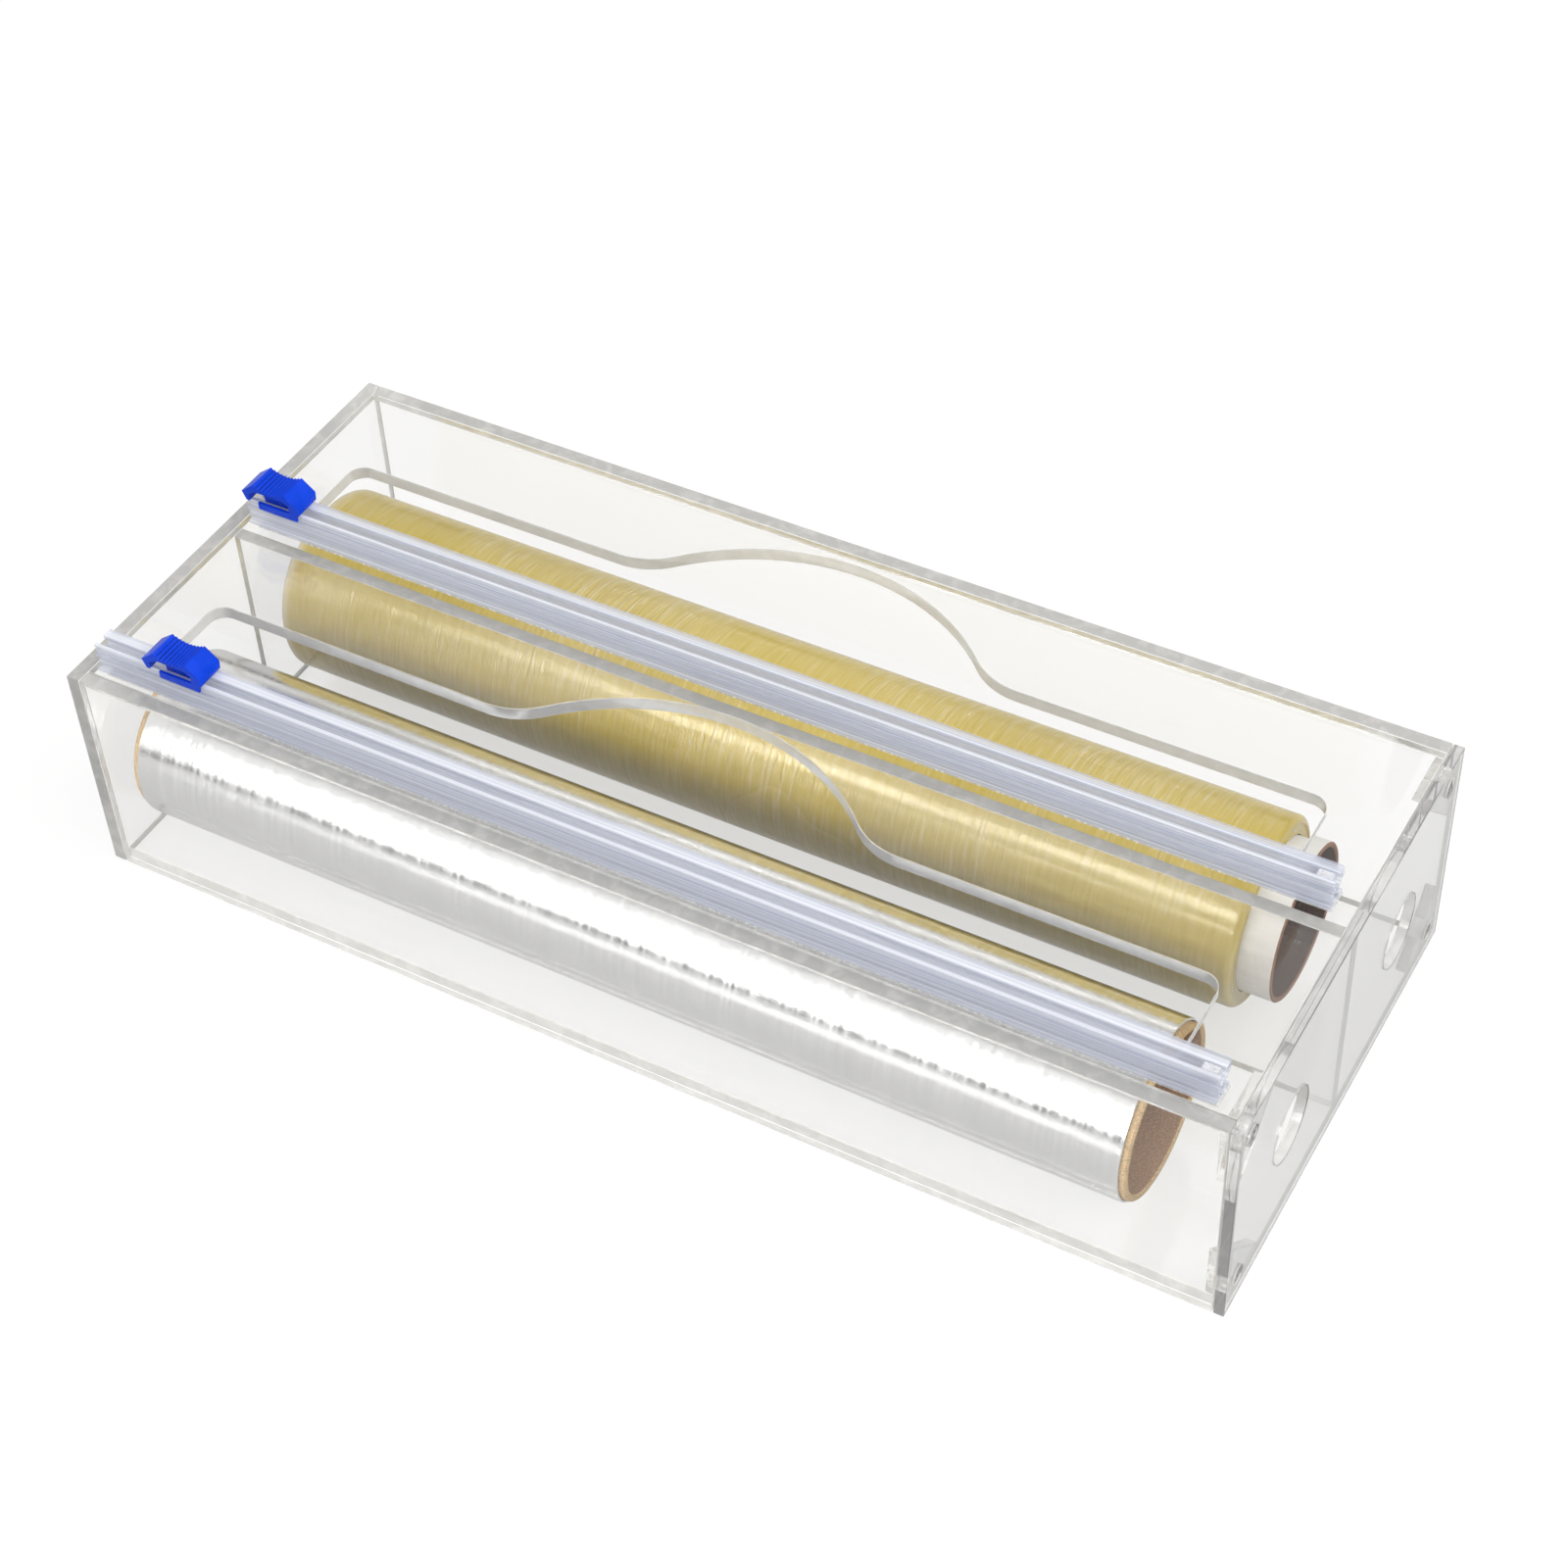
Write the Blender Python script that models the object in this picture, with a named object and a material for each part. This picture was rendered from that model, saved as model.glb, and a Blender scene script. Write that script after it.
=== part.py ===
"""Two-roll wrap dispenser: a clear acrylic case for a roll of cling film and a roll of foil.

The case lies flat.  +X runs along the rolls towards the removable end door, +Y is the back,
+Z is up, and the origin is the middle of the footprint.  Each roll comes out through a
wave-edged opening in the top panel and over the slide cutter in front of it.
"""

import math

import bmesh
import bpy
from mathutils import Matrix

# ---------------------------------------------------------------- driving dimensions (metres)
LENGTH = 0.350              # outside length, door included
WIDTH = 0.1468              # outside depth, front to back
HEIGHT = 0.0718             # outside height of the case
SHEET = 0.004               # acrylic sheet of the case
DOOR_SHEET = 0.003          # acrylic sheet of the door and the corner gussets
GAP = 0.0003                # clearance between pieces that touch

GUSSET_LEG = 0.018          # legs of the triangular corner gussets
MAGNET_RADIUS = 0.0025
MAGNET_INSET = 0.008        # magnet centre from the outer edges of the door
FINGER_HOLE_RADIUS = 0.01075

OPENING_LEFT = -0.1555      # ends of both openings in the top panel
OPENING_RIGHT = 0.1515
OPENING_CORNER = 0.005
WAVE_CENTRE = -0.0023       # the wave that gives the fingers room, in the back edge
WAVE_HALF = 0.063
WAVE_HEIGHT = 0.026
WAVE_CROWN = 0.068
OPENING_BACK = {"front": -0.0299, "rear": 0.0393}
OPENING_REACH = 0.0062      # front edge of an opening, behind the slot of its cutter

TRACK_LEFT = -0.1675        # slide cutter tracks
TRACK_RIGHT = 0.1660
TRACK_Y = {"front": -0.0649, "rear": 0.0054}
TRACK_TOP = 0.0100          # height of a track above the top panel
TAPE_SHEET = 0.0006
TAPE_LIFT = 0.0002          # gaps under and over the tape
TAPE_SETBACK = 0.0003
TAPE_ENDS = (-0.1645, 0.1664)
STOP_LENGTH = 0.0042
STOP_INSET = 0.0012

# A track's section, in metres from its slot's centre line (backwards) and the top panel (up).
WALL = 0.0010
SLOT_HALF = 0.0015          # the slot that the slider's neck and blade run in
BASE_LOW = 2 * TAPE_LIFT + TAPE_SHEET
BASE_FRONT = -0.0033
BASE_BACK = 0.0047
FRONT_FACE = -0.0023        # outside of the front wall
LIP_FACE = -0.0026          # outside of the lip on the front wall
CHANNEL_FLOOR = 0.0064      # floor of the upper channel
STEM_BACK = 0.0021          # back of the hollow stem under the channel
LEDGE = 0.0070              # small ledge on the front wall
BASE_EDGE = 0.0006          # thickness of the base's back edge
BASE_NOSE = 0.0008          # thickness of the base's front edge
NOSE_TOP = 0.0012           # where the base's front slope meets the front wall
STEM_FOOT = 0.0014          # where the base's back slope meets the stem
FLARE = 0.0014              # the stem flares out this far under the channel's floor
CHANNEL_CORNER = 0.0004     # height of the sloping corner of the channel's floor
CHANNEL_SLOPE = 0.0008      # width of that corner
LIP_HIGH = 0.0007           # outer height of the lip on the front wall
LIP_FOOT = 0.0009           # the lip's height where it meets the wall
LEDGE_RISE = 0.0002         # slope on top of the ledge
LEDGE_HIGH = 0.0008         # outer height of the ledge
LEDGE_FOOT = 0.0014         # the ledge's height where it meets the wall
HOLLOW_WALL = 0.0008        # walls, floor and roof round the stem's hollow
HOLLOW_FLOOR = 0.0010
HOLLOW_ROOF = 0.0012
STOP_CORNER = (0.0009, 0.0008)

# The slider, in metres from its middle (along X), the slot's centre line and the top panel.
SLIDER_FRONT = -0.0037
SLIDER_BACK = 0.0054
SLIDER_LOW = TRACK_TOP + 0.0004
SHOULDER = 0.0133           # where the sloping end faces start
SADDLE_ENDS = 0.0168        # height of the thumb saddle at its two ends
SADDLE_HALF = 0.0053
SADDLE_DIP = 0.0013
RIDGES = 9
RIDGE_HEIGHT = 0.0005
SLIDER_LEFT = -0.0099
SLIDER_RIGHT = 0.0096
CEILING = 0.0143            # inside of the top plate
NECK_HALF = 0.0012
SLIT_HALF = 0.0005
NECK_X = (-0.0040, 0.0046)
NECK_LOW = CHANNEL_FLOOR + 0.0005
FOOT_TOP = TRACK_TOP + 0.0007
FOOT_LOW = TRACK_TOP - 0.0016
FOOT_LEFT = -0.0046
FOOT_BACK = LIP_FACE - GAP
BLADE_SHEET = 0.0004
BLADE_LOW = 0.0006          # the blade's lower edge, under the track's top
BLADE_HIGH = 0.0026         # the blade's upper edge, above the track's top
BLADE_LAP = (0.0010, 0.0024)     # the blade past the neck's ends, at its lower and upper edge
LOW_CORNERS = (0.0012, 0.0002)   # the body's lower left and right corners, in from its ends
ARCH_FEET = (0.0022, 0.0017)     # the arch under the body, in from its left and right ends
ARCH_SHOULDER_LEFT = (0.0024, 0.0006)
ARCH_SHOULDER_DROP = 0.0012
ARCH_TOP = (0.0004, 0.0006)      # the arch's ceiling, in from the saddle's left and right ends
NECK_WING = (0.0019, 0.0013)     # the flange at the foot of the neck: reach and height
FOOT_RIM = (0.0003, 0.0005, 0.0006)
FOOT_RIGHT = 0.0012         # the foot and the leg, in from the right end
LEG_X = (0.0032, 0.0008)
SLIDER_X = {"front": -0.1397, "rear": -0.1578}

ROLLS = {
    "film": {"y": 0.0313, "bore": 0.0205, "core": 0.0220, "winding": 0.0274,
             "core_ends": (-0.1652, 0.1511), "winding_ends": (-0.1634, 0.1413)},
    "foil": {"y": -0.0409, "bore": 0.0214, "core": 0.0234, "winding": 0.0243,
             "core_ends": (-0.1664, 0.1437), "winding_ends": (-0.1641, 0.1418)},
}

# ---------------------------------------------------------------- derived places
RIGHT = LENGTH / 2
LEFT = -LENGTH / 2
FRONT = -WIDTH / 2
BACK = WIDTH / 2
DOOR_INNER = RIGHT - DOOR_SHEET
CASE_RIGHT = DOOR_INNER - GAP
CASE_LEFT = LEFT + SHEET + GAP
INNER_Y = BACK - SHEET - GAP
INNER_LOW = SHEET + GAP
INNER_HIGH = HEIGHT - SHEET - GAP

ROUND_STEPS = 72
ARC_STEP = math.radians(9)


# ---------------------------------------------------------------- materials
def make_material(name, colour, roughness, metallic=0.0, alpha=1.0):
    """One Principled material; alpha below 1 for the clear pieces."""
    material = bpy.data.materials.new(name)
    material.use_nodes = True
    shader = material.node_tree.nodes["Principled BSDF"]
    shader.inputs["Base Color"].default_value = (*colour, 1.0)
    shader.inputs["Roughness"].default_value = roughness
    shader.inputs["Metallic"].default_value = metallic
    shader.inputs["Alpha"].default_value = alpha
    material.diffuse_color = (*colour, alpha)
    return material


def make_materials():
    return {
        "acrylic": make_material("clear_acrylic", (0.92, 0.92, 0.90), 0.05, alpha=0.25),
        "track": make_material("clear_track", (0.78, 0.82, 0.93), 0.12, alpha=0.5),
        "tape": make_material("clear_tape", (0.75, 0.75, 0.74), 0.5, alpha=0.5),
        "slider": make_material("blue_plastic", (0.0, 0.04, 0.72), 0.3),
        "steel": make_material("blade_steel", (0.72, 0.72, 0.74), 0.25, metallic=1.0),
        "magnet": make_material("plated_magnet", (0.62, 0.62, 0.60), 0.15, metallic=1.0),
        "film": make_material("yellow_film", (0.66, 0.55, 0.24), 0.2),
        "film_core": make_material("white_card", (0.82, 0.80, 0.77), 0.6),
        "foil": make_material("aluminium_foil", (0.86, 0.87, 0.88), 0.22, metallic=1.0),
        "foil_core": make_material("brown_card", (0.48, 0.34, 0.20), 0.8),
    }


# ---------------------------------------------------------------- shape helpers
def arc(centre, radius, start, end):
    """Points along a circular arc, both ends included, in steps of about ARC_STEP."""
    steps = max(2, math.ceil(abs(end - start) / ARC_STEP))
    points = []
    for i in range(steps + 1):
        angle = start + (end - start) * i / steps
        points.append((centre[0] + radius * math.cos(angle), centre[1] + radius * math.sin(angle)))
    return points


def finish_mesh(bm, name):
    bmesh.ops.recalc_face_normals(bm, faces=bm.faces[:])
    mesh = bpy.data.meshes.new(name)
    bm.to_mesh(mesh)
    bm.free()
    return mesh


def add_object(name, mesh, material, location=(0, 0, 0)):
    item = bpy.data.objects.new(name, mesh)
    item.location = location
    bpy.context.scene.collection.objects.link(item)
    if material is not None:
        mesh.materials.append(material)
    return item


def prism_mesh(name, outline, axis, low, high):
    """An outline extruded along one axis.  The outline's two numbers are the other two axes."""
    order = {"x": (2, 0, 1), "y": (0, 2, 1), "z": (0, 1, 2)}[axis]
    bm = bmesh.new()
    ring = []
    for point in outline:
        triple = (point[0], point[1], low)
        ring.append(bm.verts.new([triple[k] for k in order]))
    face = bm.faces.new(ring)
    grown = bmesh.ops.extrude_face_region(bm, geom=[face])
    step = [0.0, 0.0, 0.0]
    step["xyz".index(axis)] = high - low
    moved = [v for v in grown["geom"] if isinstance(v, bmesh.types.BMVert)]
    bmesh.ops.translate(bm, verts=moved, vec=step)
    return finish_mesh(bm, name)


def prism(name, outline, axis, low, high, material, location=(0, 0, 0)):
    return add_object(name, prism_mesh(name, outline, axis, low, high), material, location)


def rectangle(low, high):
    return [(low[0], low[1]), (high[0], low[1]), (high[0], high[1]), (low[0], high[1])]


def block(name, low, high, material, location=(0, 0, 0)):
    """A rectangular sheet or block between two corners."""
    return prism(name, rectangle(low[:2], high[:2]), "z", low[2], high[2], material, location)


def rod_mesh(name, radius, low, high, segments=ROUND_STEPS):
    """A solid round rod along X between low and high."""
    bm = bmesh.new()
    bmesh.ops.create_cone(
        bm, cap_ends=True, segments=segments, radius1=radius, radius2=radius, depth=high - low,
        matrix=Matrix.Translation(((low + high) / 2, 0, 0)) @ Matrix.Rotation(math.pi / 2, 4, "Y"))
    return finish_mesh(bm, name)


def rod(name, radius, low, high, material, location, segments=ROUND_STEPS):
    item = add_object(name, rod_mesh(name, radius, low, high, segments), material, location)
    smooth(item)
    return item


def tube(name, inner, outer, low, high, material, location):
    """A hollow round tube along X, spun from its wall's section."""
    bm = bmesh.new()
    section = [(low, inner), (high, inner), (high, outer), (low, outer)]
    wall = bm.faces.new([bm.verts.new((x, 0, r)) for x, r in section])
    edges = wall.edges[:]
    bmesh.ops.delete(bm, geom=[wall], context="FACES_ONLY")
    bmesh.ops.spin(bm, geom=edges, cent=(0, 0, 0), axis=(1, 0, 0), angle=math.tau,
                   steps=ROUND_STEPS, use_merge=True)
    item = add_object(name, finish_mesh(bm, name), material, location)
    smooth(item)
    return item


def smooth(item):
    item.data.shade_smooth()
    item.data.set_sharp_from_angle(angle=math.radians(35))


def combine(item, other, operation):
    """Boolean with a tool object that is itself left out of the model."""
    other.hide_render = True
    other.display_type = "WIRE"
    modifier = item.modifiers.new(other.name, "BOOLEAN")
    modifier.operation = operation
    modifier.solver = "EXACT"
    modifier.object = other
    return item


# ---------------------------------------------------------------- case
def opening_outline(which):
    """One opening of the top panel: straight sides, round corners, a wave in the back edge."""
    back = OPENING_BACK[which]
    front = TRACK_Y[which] + OPENING_REACH
    fillet = (WAVE_HALF ** 2 + WAVE_HEIGHT ** 2) / (2 * WAVE_HEIGHT) - WAVE_CROWN
    crown_centre = (WAVE_CENTRE, back + WAVE_HEIGHT - WAVE_CROWN)
    lean = math.asin(WAVE_HALF / (WAVE_CROWN + fillet))
    up = math.pi / 2
    r = OPENING_CORNER
    points = arc((OPENING_LEFT + r, front + r), r, math.pi, 1.5 * math.pi)
    points += arc((OPENING_RIGHT - r, front + r), r, -up, 0)
    points += arc((OPENING_RIGHT - r, back - r), r, 0, up)
    points += arc((WAVE_CENTRE + WAVE_HALF, back + fillet), fillet, -up, -up - lean)
    points += arc(crown_centre, WAVE_CROWN, up - lean, up + lean)[1:-1]
    points += arc((WAVE_CENTRE - WAVE_HALF, back + fillet), fillet, -up + lean, -up)
    points += arc((OPENING_LEFT + r, back - r), r, up, math.pi)
    return points


def build_case(materials):
    acrylic = materials["acrylic"]
    block("left_end_panel", (LEFT, FRONT, 0), (LEFT + SHEET, BACK, HEIGHT), acrylic)
    block("front_panel", (CASE_LEFT, FRONT, 0), (CASE_RIGHT, FRONT + SHEET, HEIGHT), acrylic)
    block("back_panel", (CASE_LEFT, BACK - SHEET, 0), (CASE_RIGHT, BACK, HEIGHT), acrylic)
    block("bottom_panel", (CASE_LEFT, -INNER_Y, 0), (CASE_RIGHT, INNER_Y, SHEET), acrylic)
    block("divider_panel", (CASE_LEFT, -SHEET / 2, INNER_LOW), (CASE_RIGHT, SHEET / 2, INNER_HIGH), acrylic)
    top = block("top_panel", (CASE_LEFT, -INNER_Y, HEIGHT - SHEET), (CASE_RIGHT, INNER_Y, HEIGHT), acrylic)
    for which in ("front", "rear"):
        cutter = prism(f"{which}_opening_cutter", opening_outline(which), "z",
                       HEIGHT - 2 * SHEET, HEIGHT + SHEET, None)
        combine(top, cutter, "DIFFERENCE")


def corner_places():
    """The four corners of the open end: a name, and which way each corner lies."""
    return [("lower_front", -1, -1), ("lower_rear", 1, -1), ("upper_front", -1, 1), ("upper_rear", 1, 1)]


def magnet_centre(side, level):
    z = MAGNET_INSET if level < 0 else HEIGHT - MAGNET_INSET
    return (0, side * (BACK - MAGNET_INSET), z)


def build_gussets(materials):
    """Triangular plates in the four corners of the open end, each with a magnet."""
    gusset_left = CASE_RIGHT - DOOR_SHEET
    for name, side, level in corner_places():
        y = side * INNER_Y
        z = INNER_LOW if level < 0 else INNER_HIGH
        outline = [(y, z), (y - side * GUSSET_LEG, z), (y, z - level * GUSSET_LEG)]
        gusset = prism(f"{name}_gusset", outline, "x", gusset_left, CASE_RIGHT, materials["acrylic"])
        bore = rod(f"{name}_gusset_bore", MAGNET_RADIUS + GAP, gusset_left - SHEET, CASE_RIGHT + SHEET,
                   None, magnet_centre(side, level), 32)
        combine(gusset, bore, "DIFFERENCE")
        rod(f"{name}_case_magnet", MAGNET_RADIUS, gusset_left + GAP, CASE_RIGHT - GAP,
            materials["magnet"], magnet_centre(side, level), 32)


def build_door(materials):
    """The removable end: two finger holes and a magnet in each corner."""
    door = block("door_panel", (DOOR_INNER, FRONT, 0), (RIGHT, BACK, HEIGHT), materials["acrylic"])
    for name, side in (("front", -1), ("rear", 1)):
        hole = rod(f"{name}_finger_hole_cutter", FINGER_HOLE_RADIUS, DOOR_INNER - SHEET, RIGHT + SHEET,
                   None, (0, side * WIDTH / 4, HEIGHT / 2))
        combine(door, hole, "DIFFERENCE")
    for name, side, level in corner_places():
        bore = rod(f"{name}_door_bore", MAGNET_RADIUS + GAP, DOOR_INNER - SHEET, RIGHT + SHEET,
                   None, magnet_centre(side, level), 32)
        combine(door, bore, "DIFFERENCE")
        rod(f"{name}_door_magnet", MAGNET_RADIUS, DOOR_INNER + GAP, RIGHT - GAP,
            materials["magnet"], magnet_centre(side, level), 32)


# ---------------------------------------------------------------- slide cutters
def track_outline():
    """Outside of the track with the upper channel, as one line."""
    channel_front = -SLOT_HALF
    flange_under = TRACK_TOP - WALL
    channel_back = BASE_BACK - WALL
    return [
        (BASE_FRONT, BASE_LOW), (BASE_BACK, BASE_LOW), (BASE_BACK, BASE_LOW + BASE_EDGE),
        (STEM_BACK, BASE_LOW + STEM_FOOT), (STEM_BACK, CHANNEL_FLOOR - FLARE),
        (BASE_BACK, CHANNEL_FLOOR + CHANNEL_CORNER), (BASE_BACK, TRACK_TOP), (SLOT_HALF, TRACK_TOP),
        (SLOT_HALF, flange_under), (channel_back, flange_under),
        (channel_back, CHANNEL_FLOOR + CHANNEL_CORNER),
        (channel_back - CHANNEL_SLOPE, CHANNEL_FLOOR), (channel_front, CHANNEL_FLOOR),
        (channel_front, TRACK_TOP), (LIP_FACE, TRACK_TOP), (LIP_FACE, TRACK_TOP - LIP_HIGH),
        (FRONT_FACE, TRACK_TOP - LIP_FOOT), (FRONT_FACE, LEDGE + LEDGE_RISE),
        (LIP_FACE - LEDGE_RISE, LEDGE), (LIP_FACE - LEDGE_RISE, LEDGE - LEDGE_HIGH),
        (FRONT_FACE, LEDGE - LEDGE_FOOT),
        (FRONT_FACE, BASE_LOW + NOSE_TOP), (BASE_FRONT, BASE_LOW + BASE_NOSE),
    ]


def stem_hollow():
    """The hollow that runs through the stem, from end to end."""
    front = FRONT_FACE + HOLLOW_WALL
    back = STEM_BACK - HOLLOW_WALL
    low = BASE_LOW + HOLLOW_FLOOR
    high = CHANNEL_FLOOR - HOLLOW_ROOF
    return rectangle((front, low), (back, high))


def build_cutter(which, materials):
    """Track, double-sided tape under it, end stop, and the slider with its blade."""
    origin = (0, TRACK_Y[which], HEIGHT)
    track = prism(f"{which}_cutter_track", track_outline(), "x", TRACK_LEFT, TRACK_RIGHT,
                  materials["track"], origin)
    hollow = prism(f"{which}_track_hollow", stem_hollow(), "x", TRACK_LEFT - WALL, TRACK_RIGHT + WALL,
                   None, origin)
    combine(track, hollow, "DIFFERENCE")
    block(f"{which}_cutter_tape", (TAPE_ENDS[0], BASE_FRONT + TAPE_SETBACK, TAPE_LIFT),
          (TAPE_ENDS[1], BASE_BACK - TAPE_SETBACK, TAPE_LIFT + TAPE_SHEET), materials["tape"], origin)
    build_stop(which, materials, origin)
    build_slider(which, materials)


def build_stop(which, materials, origin):
    """A clear plug in the right end of the channel that stops the slider."""
    right = TRACK_RIGHT - STOP_INSET
    under = TRACK_TOP - WALL - GAP
    low = CHANNEL_FLOOR + GAP
    back = BASE_BACK - WALL - GAP
    corner_in, corner_up = STOP_CORNER
    outline = [(-SLOT_HALF + GAP, low), (back - corner_in, low), (back, low + corner_up), (back, under),
               (SLOT_HALF - GAP, under), (SLOT_HALF - GAP, TRACK_TOP - GAP),
               (-SLOT_HALF + GAP, TRACK_TOP - GAP)]
    prism(f"{which}_end_stop", outline, "x", right - STOP_LENGTH, right, materials["track"], origin)


def saddle_points():
    """The ridged thumb saddle from its right end to its left end."""
    points = []
    steps = RIDGES * 4
    for i in range(steps + 1):
        t = 1 - 2 * i / steps
        dip = SADDLE_DIP * (1 - t * t)
        ridge = RIDGE_HEIGHT * 0.5 * (1 - math.cos(math.tau * RIDGES * i / steps))
        points.append((SADDLE_HALF * t, SADDLE_ENDS - dip - ridge))
    return points


def build_slider(which, materials):
    blue = materials["slider"]
    place = (SLIDER_X[which], TRACK_Y[which], HEIGHT)
    outline = [(SLIDER_LEFT + LOW_CORNERS[0], SLIDER_LOW), (SLIDER_RIGHT - LOW_CORNERS[1], SLIDER_LOW),
               (SLIDER_RIGHT, SHOULDER)]
    outline += saddle_points()
    outline += [(SLIDER_LEFT, SHOULDER)]
    slider = prism(f"{which}_slider", outline, "y", SLIDER_FRONT, SLIDER_BACK, blue, place)

    low = SLIDER_LOW - WALL
    arch_right = SLIDER_RIGHT - ARCH_FEET[1]
    arch = [(SLIDER_LEFT + ARCH_FEET[0], low), (arch_right, low), (arch_right, SHOULDER - ARCH_SHOULDER_DROP),
            (SADDLE_HALF - ARCH_TOP[1], CEILING), (-SADDLE_HALF + ARCH_TOP[0], CEILING),
            (SLIDER_LEFT + ARCH_SHOULDER_LEFT[0], SHOULDER - ARCH_SHOULDER_LEFT[1])]
    cavity = prism(f"{which}_slider_cavity", arch, "y", SLIDER_FRONT - WALL, SLIDER_BACK - WALL, None, place)
    combine(slider, cavity, "DIFFERENCE")

    wing = NECK_HALF + NECK_WING[0]
    wing_top = NECK_LOW + NECK_WING[1]
    neck_top = CEILING + WALL / 2
    neck_sides = [(-NECK_HALF, NECK_LOW), (wing, NECK_LOW), (wing, wing_top), (NECK_HALF, wing_top),
                  (NECK_HALF, neck_top), (-NECK_HALF, neck_top)]
    neck = prism(f"{which}_slider_neck", neck_sides, "x", NECK_X[0], NECK_X[1], None, place)
    combine(slider, neck, "UNION")

    rim, rim_low, rim_high = FOOT_RIM
    foot_sides = [(SLIDER_FRONT, FOOT_LOW), (FOOT_BACK + rim, FOOT_LOW),
                  (FOOT_BACK + rim, FOOT_LOW + rim_low), (FOOT_BACK, FOOT_LOW + rim_high),
                  (FOOT_BACK, FOOT_TOP), (SLIDER_FRONT, FOOT_TOP)]
    foot = prism(f"{which}_slider_foot", foot_sides, "x", FOOT_LEFT, SLIDER_RIGHT - FOOT_RIGHT, None, place)
    combine(slider, foot, "UNION")
    leg = block(f"{which}_slider_leg", (SLIDER_RIGHT - LEG_X[0], SLIDER_FRONT, FOOT_LOW),
                (SLIDER_RIGHT - LEG_X[1], FOOT_BACK, SHOULDER), None, place)
    combine(slider, leg, "UNION")

    blade_low = TRACK_TOP - BLADE_LOW
    blade_high = TRACK_TOP + BLADE_HIGH
    slit = block(f"{which}_slider_slit", (NECK_X[0] - WALL, -SLIT_HALF, NECK_LOW - WALL),
                 (NECK_X[1] + WALL, SLIT_HALF, blade_high + GAP), None, place)
    combine(slider, slit, "DIFFERENCE")

    blade_outline = [(NECK_X[0] - BLADE_LAP[0], blade_low), (NECK_X[1] + BLADE_LAP[0], blade_low),
                     (NECK_X[1] + BLADE_LAP[1], blade_high), (NECK_X[0] - BLADE_LAP[1], blade_high)]
    prism(f"{which}_slider_blade", blade_outline, "y", -BLADE_SHEET / 2, BLADE_SHEET / 2,
          materials["steel"], place)


# ---------------------------------------------------------------- rolls
def build_roll(name, materials):
    """A card core with its winding, lying on the bottom panel; its origin is on its axis."""
    roll = ROLLS[name]
    axis = (0, roll["y"], INNER_LOW + roll["winding"])
    tube(f"{name}_core", roll["bore"], roll["core"], *roll["core_ends"], materials[f"{name}_core"], axis)
    tube(f"{name}_winding", roll["core"] + GAP, roll["winding"], *roll["winding_ends"], materials[name], axis)


def main():
    for item in list(bpy.data.objects):
        bpy.data.objects.remove(item, do_unlink=True)
    materials = make_materials()
    build_case(materials)
    build_gussets(materials)
    build_door(materials)
    for which in ("front", "rear"):
        build_cutter(which, materials)
    for name in ROLLS:
        build_roll(name, materials)


main()
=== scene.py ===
"""Looks for the two-roll wrap dispenser: polished clear sheets, slide cutters, two rolls, studio."""

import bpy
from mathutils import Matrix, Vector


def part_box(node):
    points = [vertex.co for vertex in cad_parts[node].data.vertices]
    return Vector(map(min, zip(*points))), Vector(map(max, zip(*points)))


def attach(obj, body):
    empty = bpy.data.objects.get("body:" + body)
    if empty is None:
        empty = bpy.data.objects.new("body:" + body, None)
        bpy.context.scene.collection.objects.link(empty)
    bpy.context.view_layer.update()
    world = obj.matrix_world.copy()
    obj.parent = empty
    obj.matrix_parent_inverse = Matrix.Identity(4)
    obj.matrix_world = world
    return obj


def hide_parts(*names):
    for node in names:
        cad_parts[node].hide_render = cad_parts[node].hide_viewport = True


bl_info = {
    "name": "Wrap dispenser looks",
    "version": (1, 0, 0),
    "blender": (4, 5, 0),
    "location": "3D View > Sidebar > Dispenser",
    "description": "Builds the sheets, cutters, rolls and studio of a clear two-roll wrap dispenser",
    "category": "Object",
}

import math

import bmesh
import bpy
from bpy.props import FloatProperty, FloatVectorProperty, IntProperty, PointerProperty
from mathutils import Matrix, Vector, noise

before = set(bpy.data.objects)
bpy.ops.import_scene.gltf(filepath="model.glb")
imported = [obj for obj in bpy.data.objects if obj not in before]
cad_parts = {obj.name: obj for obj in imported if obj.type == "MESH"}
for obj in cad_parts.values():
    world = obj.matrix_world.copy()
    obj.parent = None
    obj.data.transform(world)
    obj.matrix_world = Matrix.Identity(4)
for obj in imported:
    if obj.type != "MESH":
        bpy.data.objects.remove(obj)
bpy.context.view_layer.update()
CASE_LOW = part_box("left_end_panel")[0]
CASE_HIGH = Vector((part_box("door_panel")[1].x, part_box("back_panel")[1].y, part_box("back_panel")[1].z))

ARC_STEP = math.radians(4)          # mesh steps along arcs and circles
SHARP = math.radians(12)            # edges of sheets and rolls shade sharp above this angle
MOULDED_SHARP = math.radians(40)    # the same for the moulded sliders
SHEET_CORNER = 1.0                  # edges of a sheet that are polished, in radians
MOULDED_CORNER = math.radians(60)   # edges of a slider that are rounded
CAD_CORNER = math.radians(35)       # edges of a CAD node that are rounded
WELD = 0.000002                     # joins the loose triangles of a CAD mesh
FLAT = 0.999                        # a normal this close to an axis belongs to a flat face
TILTED = 0.02                       # a wall's normal leans less than this towards the axis
CORE_GAP = 0.0003                   # between a winding and its core
SKIN = 0.0001                       # how deep a winding's outer surface reaches
ORDER_FROM_AXIS = {0: (2, 0, 1), 1: (0, 2, 1), 2: (0, 1, 2)}
HORIZON = 0.08                      # height of the room's darker band, as the sine of its elevation
HORIZON_REACH = (0.04, 0.09)        # the band's dark middle and its faded edge, up and down from there
HORIZON_SHADE = (0.15, 0.9)         # how bright the room is in the band and outside it
FLOOR_HALF = 3.0
FLOOR_DROP = 0.0002                 # keeps the floor off the case's underside
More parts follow.
